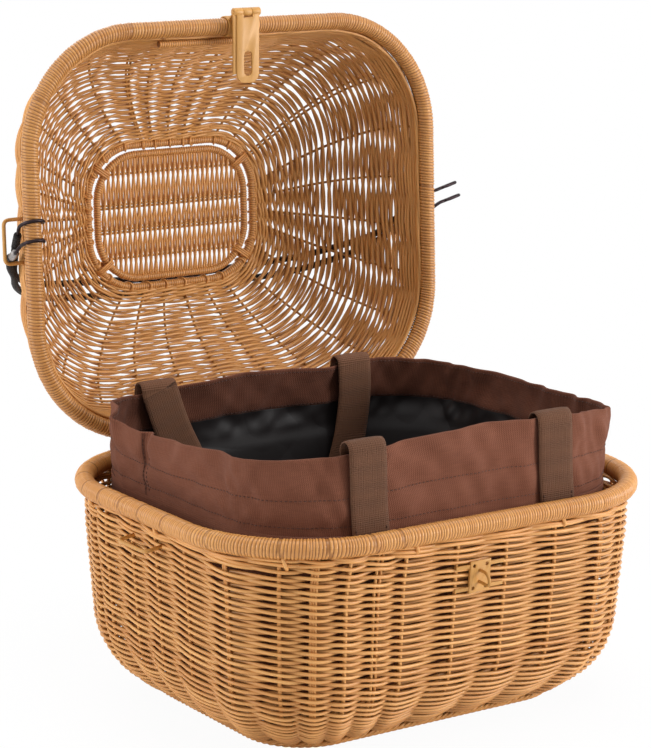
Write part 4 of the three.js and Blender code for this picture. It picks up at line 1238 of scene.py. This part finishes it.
class BASKET_OT_bag(bpy.types.Operator):
    """Canvas collar with its hem, the lining, the canvas behind the weave, seams and stitches"""

    bl_idname = "basket.bag"
    bl_label = "Bag"

    def execute(self, context):
        b = values_of(context.scene.basket_bag)
        s = np.linspace(0, TUB_PLAN.total, 640, endpoint=False)
        hem = 1 - b.hem / EDGE_USUAL
        for made in (self.collar(b, s, hem), self.lining(b, s, hem), self.seams(b, s, hem)):
            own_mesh(made)
        for name, finish, outside, wall, floor, slack, drawn_in in (
                ("bag_lining", "lining", 13.0, 0.8, 9.8, 1.3, 0.0),
                ("bag_canvas", "canvas", 10.3, 1.1, 7.2, 0.6, 1.0)):
            outer, inner = (cup_face(outside + far, floor + far, slack, drawn_in) for far in (0, wall))
            cup = Piece(f"{name}_cup").add(np.concatenate([outer[::-1], inner]), flip=True)
            cup.build(finish, "tub", name, slot=finish)
        return {"FINISHED"}

    def collar(self, b, s, hem):
        """Canvas: up the outside, over the edge, down the band of the hem, and one layer on below it."""
        rise = np.concatenate([np.linspace(-0.4, 0.985, 28), [1.0, 1.012, 1.0], np.linspace(0.985, hem, 12),
                               [hem, hem - 0.012], np.linspace(hem - 0.02, -0.4, 10)])
        inside = np.concatenate([np.zeros(28), [0.35, 1.25, 2.15], np.full(12, 2.5), [2.3, b.cloth],
                                 np.full(10, b.cloth)])
        grid = collar_point(s[:, None], rise, inside, b.fold)
        around = run_length(np.concatenate([grid[:, 0], grid[:1, 0]]))
        up = run_length(grid[0])
        up = np.append(up, up[-1] + 1.5)
        # Painted shade on the band of the hem inside, with a lighter line where its edge steps over, and a
        # darker line down the side seam, all through the groove mark
        seam = 0.7 * np.exp(-((s[:, None] - SIDE_SEAM) / 1.2) ** 2) * (np.arange(len(rise)) < 28)
        band = np.interp(inside, [1.5, 2.28, 2.3, 2.32, 2.4], [0.0, 0.4, -0.6, 0.4, 0.45])
        collar = Piece("collar_canvas").add(grid, loop=True, uv=(around * MM, up * MM), groove=band + seam)
        return collar.build("canvas", "tub", "bag_collar", slot="canvas")

    def lining(self, b, s, hem):
        """Lining of the collar: a thin layer from behind the hem down past the split."""
        up = np.linspace(-0.55, hem + 0.03, 20)
        rise = np.concatenate([up, up[::-1]])
        inside = np.repeat([1.3, 2.0], 20) + np.interp(rise, [-0.15, 0.1], [2.4, 0])
        lining = Piece("collar_lining").add(collar_point(s[:, None], rise, inside, b.fold), loop=True)
        return lining.build("lining", "tub", slot="lining")

    def seams(self, b, s, hem):
        """Rows of stitches round the collar, outside and along the hem, and two up the side seam."""
        seams = Piece("collar_stitching")
        around = np.append(s, TUB_PLAN.total)
        up = np.linspace(0.02, 0.97, 40)
        rows = [(around, row, 0.0, 1) for row in STITCH_ROWS]
        rows += [(around, row, 2.5, -1) for row in (HEM_ROW, hem + 0.03)]
        rows += [(np.full(len(up), SIDE_SEAM + off), up, 0.0, 1) for off in (-0.5, 4.5)]
        for place, rise, inside, way in rows:
            line = collar_point(place, rise, inside, b.fold)
            _, normal = TUB_PLAN.at(place, *collar_halves(np.full(len(place), 200.0)))
            stitches(seams, line, lifted(normal * way, 0.0), b.stitch)
        return seams.build("thread", "tub", slot="canvas")


def bag_face(z):
    """Distance of the bag's outer face from the middle, in front and behind."""
    collar = COLLAR_FOOT[1] + (z - COLLAR_Z) / COLLAR_HEIGHT * COLLAR_GAIN[1]
    return np.where(z > COLLAR_Z, collar, RIM_HALF_Y - tub_inset(np.minimum(z, COLLAR_Z), BAG_INSET))


def handle_frames(handle, gauge, bend=6.0):
    """Frames of a handle: up the outside, over the edge, and a loop hanging inside.

    Each frame is a point with the directions of the webbing's width and thickness. They are worked out for
    the left leg and the loop, and mirrored for the right leg."""
    top = edge_height(handle.place)
    crest = top - 2.5
    edge = bag_face(top) - 1.6
    sewn = 0.3 + gauge / 2
    z = np.concatenate([np.linspace(HANDLE_FOOT, COLLAR_Z, 6), np.linspace(186, crest - 2, 10)])
    spread = (edge + bend - bag_face(crest) - sewn) * smooth_step((z - 196) / (crest - 196))
    legs = np.stack([np.full(len(z), -handle.leg), bag_face(z) + sewn + spread, z], -1)
    a = np.radians(np.linspace(8, 172, 11))
    over = np.stack([np.full(len(a), -handle.leg), edge + bend * np.cos(a),
                     crest + 1.15 * bend * np.sin(a)], -1)
    across, depth = np.array(handle.sag).T
    hung = smooth_path(np.stack([across * handle.leg, 0 * across, crest - depth * (top - HANDLE_LOW)], -1), 7)
    high, low = edge - bend, RIM_HALF_Y - tub_inset(91.0, BAG_INSET) - 5.2
    hung[:, 1] = high + (low - high) * smooth_step((crest - hung[:, 2]) / 60)
    ahead = np.gradient(hung, axis=0)
    climb = len(legs) + len(over)
    point = np.concatenate([legs, over, hung])
    wide = np.concatenate([np.tile([1.0, 0, 0], (climb, 1)),
                           unit(np.stack([-ahead[:, 2], np.zeros(len(hung)), ahead[:, 0]], -1))])
    thick = np.concatenate([np.tile([0, 1.0, 0], (len(legs), 1)), np.stack([0 * a, np.cos(a), np.sin(a)], -1),
                            np.tile([0, -1.0, 0], (len(hung), 1))])
    mirror = [-1, 1, 1]
    point = np.concatenate([point, (point[:climb] * mirror)[::-1]])
    wide = np.concatenate([wide, (wide[:climb] * mirror)[::-1]])
    thick = np.concatenate([thick, thick[:climb][::-1]])
    turned = [1, handle.side, 1]
    return [handle.middle, 0, 0] + point * turned, wide * turned, thick * turned


class BASKET_OT_handles(bpy.types.Operator):
    """Webbing handles of the bag, sewn on outside and hanging inside"""

    bl_idname = "basket.handles"
    bl_label = "Bag handles"

    def execute(self, context):
        b = values_of(context.scene.basket_bag)
        for name, handle in HANDLES.items():
            frames = handle_frames(handle, b.webbing_thickness)
            for made in (self.webbing(name, handle, frames, b), self.seams(name, frames, b)):
                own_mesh(made)
        return {"FINISHED"}

    def webbing(self, name, handle, frames, b):
        """The band: a flat section with rounded edges and a slight arch, swept along the frames."""
        point, wide, thick = frames
        half, gauge = b.webbing / 2, b.webbing_thickness / 2
        x = np.linspace(-1, 1, 9)
        y = np.where(np.abs(x) < 1, 1, 0.6)
        section = np.concatenate([np.stack([x, y], -1), [[1.02, 0]], np.stack([-x, -y], -1), [[-1.02, 0]]])
        arch = 0.25 * (1 - section[:, :1] ** 2)
        section = section * [half, gauge]
        grid = point[:, None] + wide[:, None] * section[:, :1] + thick[:, None] * (section[:, 1:] + arch)
        u = run_length(point)
        v = run_length(np.concatenate([section, section[:1]]))
        band = Piece(f"{name}_handle_webbing")
        band.add(grid, uv=(np.append(u, u[-1]) * MM, v * MM), flip=handle.side > 0, groove=handle.groove)
        return band.build("webbing", "tub", f"{name}_handle", slot="webbing")

    def seams(self, name, frames, b):
        """Two rows of stitches down each leg."""
        seams = Piece(f"{name}_handle_stitching")
        for leg in (slice(0, 7), slice(-7, None)):
            point, wide, thick = (values[leg] for values in frames)
            for off in (-0.84, 0.84):
                line = point + wide * off * b.webbing / 2 + thick * (b.webbing_thickness / 2 + 0.1)
                stitches(seams, line, thick, b.stitch)
        return seams.build("thread", "tub", slot="webbing")


# Metal and cords
SIDES = ((-1, "left"), (1, "right"))


def rounded_copy(name, node, width, body):
    """A CAD node's mesh with its doubles merged, its flat faces joined and its edges rounded."""
    data = bmesh.new()
    data.from_mesh(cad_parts[node].data)
    bmesh.ops.remove_doubles(data, verts=data.verts, dist=1e-6)
    bmesh.ops.dissolve_limit(data, angle_limit=math.radians(0.6), verts=data.verts, edges=data.edges)
    mesh = bpy.data.meshes.new(name)
    data.to_mesh(mesh)
    data.free()
    mesh.polygons.foreach_set("use_smooth", np.ones(len(mesh.polygons), bool))
    bevel = dressed(name, mesh, "paint", body, [node]).modifiers.new("rounding", "BEVEL")
    bevel.width = width * MM
    bevel.segments = 2
    bevel.limit_method = "ANGLE"
    bevel.angle_limit = math.radians(32)
    bevel.harden_normals = True


class BASKET_OT_hardware(bpy.types.Operator):
    """Hasp, plate, staple, hinge straps and wire loops"""

    bl_idname = "basket.hardware"
    bl_label = "Metal parts"

    def execute(self, context):
        rounded_copy("hasp_strap_plate", "hasp_strap", 0.35, "hasp")
        rounded_copy("hasp_leaf_strip", "hasp_leaf", 0.25, "lid")
        rounded_copy("lock_plate_pressed", "lock_plate", 0.3, "tub")
        rounded_copy("hinge_strip_left", "hinge_strap_left", 0.25, "tub")
        rounded_copy("hinge_strip_right", "hinge_strap_right", 0.25, "tub")
        rounded_copy("hasp_pin_rod", "hasp_pin", 0.2, "lid")
        self.staple()
        base_z, lid_z = RIM_Z - 23.5, 31
        base_x, lid_x = RIM_HALF_X - tub_inset(base_z, 0), LID_HALF_X - dome_inset(lid_z)
        for side, hand in SIDES:
            self.loop("base", side, hand, "tub", as_is, (base_x, 4, base_z), 20, 13.5, 2.5)
            self.loop("lid", side, hand, "lid", opened, (lid_x, 0.9, lid_z), 18, 16, 0)
        return {"FINISHED"}

    def staple(self):
        """The D of wire that stands on the lock plate, square to the leaning wall."""
        foot = -1.8
        nose = ((0, 4.6), (-3.51, 4.6), (-7.6, 4.14), (-11.23, 0.92), (-11.7, -2.76), (-9.95, -4.6),
                (-4.68, -4.6), (0, -4.6))
        path = smooth_path([[0, foot + out, up] for out, up in nose], 5)
        y, z = path[:, 1], path[:, 2]
        plate_z = RIM_Z - 42.4
        plate_y = tub_inset(plate_z, 0) - RIM_HALF_Y
        lean = math.atan(WALL_LEAN)
        path = np.stack([np.full(len(y), 2.5), plate_y + y * math.cos(lean) - z * math.sin(lean),
                         plate_z + y * math.sin(lean) + z * math.cos(lean)], -1)
        wire = Piece("lock_staple_wire").add(tube(path, 1.3, 12, np.array([1.0, 0, 0])))
        wire.build("paint", "tub", "lock_staple", slot="tan_metal")

    def loop(self, where, side, hand, body, turn, place, half, reach, droop):
        """A loop of wire: two legs in the weave, half apart from a place on its face, reach out and droop."""
        face, y, z = place
        near, far = side * (face - 3.0), side * (face + reach)
        path = bent_path([[near, y - half, z], [far, y - half, z - droop], [far, y + half, z - droop],
                          [near, y + half, z]], 5)
        loop = Piece(f"{where}_loop_wire_{hand}").add(tube(path, 1.6, 12, UP))
        loop.build("paint", body, f"{where}_loop_{hand}", slot="tan_metal", turn=turn)


# Cords: sleeve, loose part and shank are measured out from the lid's rim, climb is (height, y), top is (x, y)
CORDS = {
    "front": dict(
        sleeve=[[2.25, 5.5, 26.5], [6.75, -7, 12.5]],
        loose=[[-2.75, 12.5, 37], [-6.45, 19, 45]],
        climb=[[54, 26], [66, 33], [78, 38], [90, 43], [100, 47.5], [108, 51]],
        top=[[-62, 55], [-20, 57], [20, 57], [62, 55]],
        curl=[[365, 7]], shank=[16.65, -11.1, 8], tail=10, finish="elastic"),
    "rear": dict(
        sleeve=[[5.65, 12.6, 26], [8.95, 8, 13.5]],
        loose=[[4.05, 13.6, 33], [2.05, 16.8, 37.5], [-1.75, 24, 44.5]],
        climb=[[54, 33], [66, 41], [78, 47.5], [90, 53.5], [100, 59], [108, 63.5]],
        top=[[-62, 67.5], [-20, 69], [20, 69], [62, 67.5]],
        curl=[[362, 9.5], [388, 6.5]], shank=[20.65, 0.4, 8], tail=11, finish="ferrule"),
}
CORD_RADIUS = 3
HOOK_RADIUS = 1.5
HOOK_BEND = LID_RIM_RADIUS + HOOK_RADIUS + 0.2

# A sleeve with its two crimps: share of its length and radius
SLEEVE = ((0.0, 3.05), (0.02, 3.3), (0.05, 3.42), (0.12, 3.42), (0.2, 3.4), (0.25, 3.1), (0.3, 3.4),
          (0.38, 3.42), (0.5, 3.42), (0.62, 3.42), (0.7, 3.4), (0.75, 3.1), (0.8, 3.4), (0.88, 3.4),
          (0.95, 3.2), (0.99, 2.6), (1.0, 1.8))


def from_rim(side, points):
    """Points whose x is measured outward from the lid's rim."""
    return np.asarray(points, float) * [side, 1, 1] + [side * LID_HALF_X, 0, 0]


def over_lid(side, climb):
    """Points of a cord on the dome: the height gives the inset, and the corner's circle gives x."""
    z, y = np.asarray(climb, float).T
    half_x, half_y, corner = lid_halves(dome_inset(z, CORD_RADIUS + 0.8), z)
    past = np.maximum(0, y - (half_y - corner))
    return np.stack([side * (half_x - corner + np.sqrt(corner ** 2 - past ** 2)), y, z], -1)


def cord_path(cord):
    """The middle line of a cord, from inside its left sleeve over the lid into its right one."""
    ends = []
    for side, _ in SIDES:
        mouth, foot = from_rim(side, cord["sleeve"])
        out = unit(mouth - foot)
        ends.append(np.concatenate([[mouth - out * 3, mouth, mouth + out * 4], from_rim(side, cord["loose"]),
                                    over_lid(side, cord["climb"])]))
    top = lifted(np.array(cord["top"], float), CROWN_Z + CROWN_RADIUS + CORD_RADIUS + 0.3)
    return smooth_path(np.concatenate([ends[0], top, ends[1][::-1]]), 9)


def hook_path(side, start, cord):
    """A wire hook: on the left it curls round the lid's rim, on the right it stands out free."""
    if side < 0:
        turns = np.array([[200, 8.5], [235, 10], [270, 10.5], [305, 10], [338, 8.5], *cord["curl"]])
        a, back = np.radians(turns[:, 0]), turns[:, 1]
        x, z = HOOK_BEND * np.cos(a) - LID_HALF_X, HOOK_BEND * np.sin(a)
        return [start, [-LID_HALF_X - HOOK_BEND, start[1] - 5, 5], *np.stack([x, start[1] - back, z], -1)]
    ahead, over = np.array([0.97, -0.243, 0]), np.array([-0.07, -0.28, -0.957])
    shank = from_rim(1, cord["shank"])
    base = shank + ahead * 5
    a = np.radians(np.arange(1, 7) * 30)[:, None]
    bend = base + over * HOOK_BEND * (1 - np.cos(a)) + ahead * HOOK_BEND * np.sin(a)
    return [start, shank, base, *bend, bend[-1] - ahead * cord["tail"]]


class BASKET_OT_strap(bpy.types.Operator):
    """Elastic strap: two cords over the lid, their sleeves and their hooks"""

    bl_idname = "basket.strap"
    bl_label = "Elastic strap"

    def execute(self, context):
        for word, cord in CORDS.items():
            made = Piece(f"elastic_{word}").add(tube(cord_path(cord), CORD_RADIUS - 0.05, 14, BACK))
            made.build("elastic", "lid", f"elastic_cord_{word}", slot="black_elastic", turn=opened)
            for side, hand in SIDES:
                self.sleeve_and_hook(cord, side, f"{hand}_{word}")
        return {"FINISHED"}

    def sleeve_and_hook(self, cord, side, place):
        """The sleeve at one end of a cord, and the hook that comes out of its foot."""
        mouth, foot = from_rim(side, cord["sleeve"])
        ahead = unit(foot - mouth)
        share, radius = np.array(SLEEVE).T
        path = mouth + ahead * (share * np.linalg.norm(foot - mouth) + 0.3)[:, None]
        sleeve = Piece(f"strap_sleeve_shell_{place}").add(tube(path, radius, 18, BACK))
        sleeve.build(cord["finish"], "lid", f"strap_sleeve_{place}", slot="black_elastic", turn=opened)
        wire = smooth_path([foot - ahead, *hook_path(side, foot + ahead * 3, cord)], 6)
        thick = np.full(len(wire), HOOK_RADIUS)
        thick[-3:] = [1.4, 1.15, 0.7]
        hook = Piece(f"strap_hook_wire_{place}").add(tube(wire, thick, 12, np.array([0.0, 1.0, 0.1])))
        hook.build("wire", "lid", f"strap_hook_{place}", slot="dark_steel", turn=opened)


# Stage
class BASKET_OT_stage(bpy.types.Operator):
    """Pale floor, soft lamps, white surroundings and the photograph's camera"""

    bl_idname = "basket.stage"
    bl_label = "Stage"

    def execute(self, context):
        scene = context.scene
        scene.view_settings.view_transform = "Standard"
        floor = bpy.data.meshes.new("floor")
        floor.from_pydata([(-9, -9, 0), (9, -9, 0), (9, 9, 0), (-9, 9, 0)], [], [(0, 1, 2, 3)])
        floor.materials.append(self.floor_finish(tuple(scene.basket_colours.floor)))
        floor = bpy.data.objects.new("stage_floor", floor)
        scene.collection.objects.link(floor)
        for name, place, size, power in (
                ("lamp_above", (0.1, -0.1, 2.2), 1.3, 20), ("lamp_left", (-1.9, 0.6, 0.8), 1.0, 20),
                ("lamp_right", (2.0, -1.8, 0.9), 1.2, 60), ("lamp_back", (0.3, 1.8, 1.5), 1.2, 10)):
            self.lamp(scene, name, place, size, power)
        self.surroundings(scene)
        self.camera(scene)
        return {"FINISHED"}

    def floor_finish(self, tone):
        """A floor that the camera sees as white but for the object's shadow."""
        f = Finish("floor_paper", Roughness=0.8, Base_Color=tone)
        f.bump(f.noise(f.place(), 300.0), 0.0001, 0.2)
        glow = f.node("ShaderNodeEmission", None, {"Color": (1, 1, 1, 1), "Strength": 1.0})
        far = f.node("ShaderNodeVectorMath", {"operation": "LENGTH"}, {0: f.place()}, 1)
        seen = f.node("ShaderNodeLightPath", output="Is Camera Ray")
        share = f.ramp(far * 0.5, (0.1, 0.95), (0.22, 1.0)) * seen
        f.show(f.node("ShaderNodeMixShader", None, {0: share, 1: f.skin, 2: glow}))
        return f.material

    def lamp(self, scene, name, place, size, power):
        """A square lamp at a place, turned to the basket's middle."""
        light = bpy.data.lights.new(name, "AREA")
        light.energy = power
        light.size = size
        lamp = bpy.data.objects.new(name, light)
        aim = unit(np.array([0, 0.05, 0.25]) - place)
        lamp.location = place
        lamp.rotation_euler = (-math.acos(-aim[2]), 0, math.pi - math.atan2(aim[0], aim[1]))
        scene.collection.objects.link(lamp)

    def surroundings(self, scene):
        """Even soft light, and plain white where the camera or a reflection sees past the floor."""
        world = bpy.data.worlds.new("surroundings")
        world.use_nodes = True
        n = Nodes(world.node_tree)
        light = n.node("ShaderNodeBackground", None, {"Color": (1.0, 0.99, 0.98, 1), "Strength": 0.42})
        white = n.node("ShaderNodeBackground", None, {"Color": (1, 1, 1, 1), "Strength": 1.0})
        camera, glossy, through = (n.node("ShaderNodeLightPath", output=f"Is {ray} Ray")
                                   for ray in ("Camera", "Glossy", "Transmission"))
        seen = camera.most(glossy).most(through)
        n.node("ShaderNodeOutputWorld", None,
               {"Surface": n.node("ShaderNodeMixShader", None, {0: seen, 1: light, 2: white})})
        scene.world = world

    def camera(self, scene):
        """The photograph's view, found by fitting both rims, the tub and the dome to it."""
        azimuth, elevation, roll = (math.radians(angle) for angle in (-34.07, 12.59, 0.36))
        back = np.array([math.sin(azimuth) * math.cos(elevation), -math.cos(azimuth) * math.cos(elevation),
                         math.sin(elevation)])
        level = unit(np.cross(UP, back))
        upright = np.cross(back, level)
        right = level * math.cos(roll) + upright * math.sin(roll)
        up = upright * math.cos(roll) - level * math.sin(roll)
        place = (np.array([-19.57, 64.41, 241.86]) + back * 2175.07) * MM
        data = bpy.data.cameras.new("photo_camera")
        data.sensor_width = 36
        data.lens = 2664.18 * data.sensor_width / PHOTO_HEIGHT
        data.shift_x = 33.59 / PHOTO_HEIGHT
        data.shift_y = 11.42 / PHOTO_HEIGHT
        data.clip_start = 0.05
        data.clip_end = 50
        camera = bpy.data.objects.new("photo_camera", data)
        scene.collection.objects.link(camera)
        camera.matrix_world = Matrix([*np.stack([right, up, back, place], 1).tolist(), [0, 0, 0, 1]])
        scene.camera = camera


class BASKET_PT_parts(bpy.types.Panel):
    """The basket's pieces, sizes and colours"""

    bl_idname = "BASKET_PT_parts"
    bl_label = "Luggage basket"
    bl_space_type = "VIEW_3D"
    bl_region_type = "UI"
    bl_category = "Basket"

    def draw(self, context):
        for made in OPERATORS:
            self.layout.operator(made.bl_idname)
        for group in GROUPS:
            box = self.layout.box()
            for name in GROUPS[group].__annotations__:
                box.prop(getattr(context.scene, group), name)


GROUPS = {"basket_weave": BasketWeave, "basket_bag": BasketBag, "basket_colours": BasketColours}
OPERATORS = (BASKET_OT_stage, BASKET_OT_strap, BASKET_OT_tub_weave, BASKET_OT_lid_weave, BASKET_OT_rims,
             BASKET_OT_top, BASKET_OT_border, BASKET_OT_bag, BASKET_OT_handles, BASKET_OT_hardware)


def register():
    for made in (*GROUPS.values(), *OPERATORS, BASKET_PT_parts):
        bpy.utils.register_class(made)
    for name, group in GROUPS.items():
        setattr(bpy.types.Scene, name, PointerProperty(type=group))


def unregister():
    for name in GROUPS:
        delattr(bpy.types.Scene, name)
    for made in (BASKET_PT_parts, *reversed(OPERATORS), *reversed(GROUPS.values())):
        bpy.utils.unregister_class(made)


def main():
    """Makes every piece in order."""
    register()
    for made in OPERATORS:
        group, name = made.bl_idname.split(".")
        getattr(getattr(bpy.ops, group), name)()


if __name__ == "__main__":
    main()
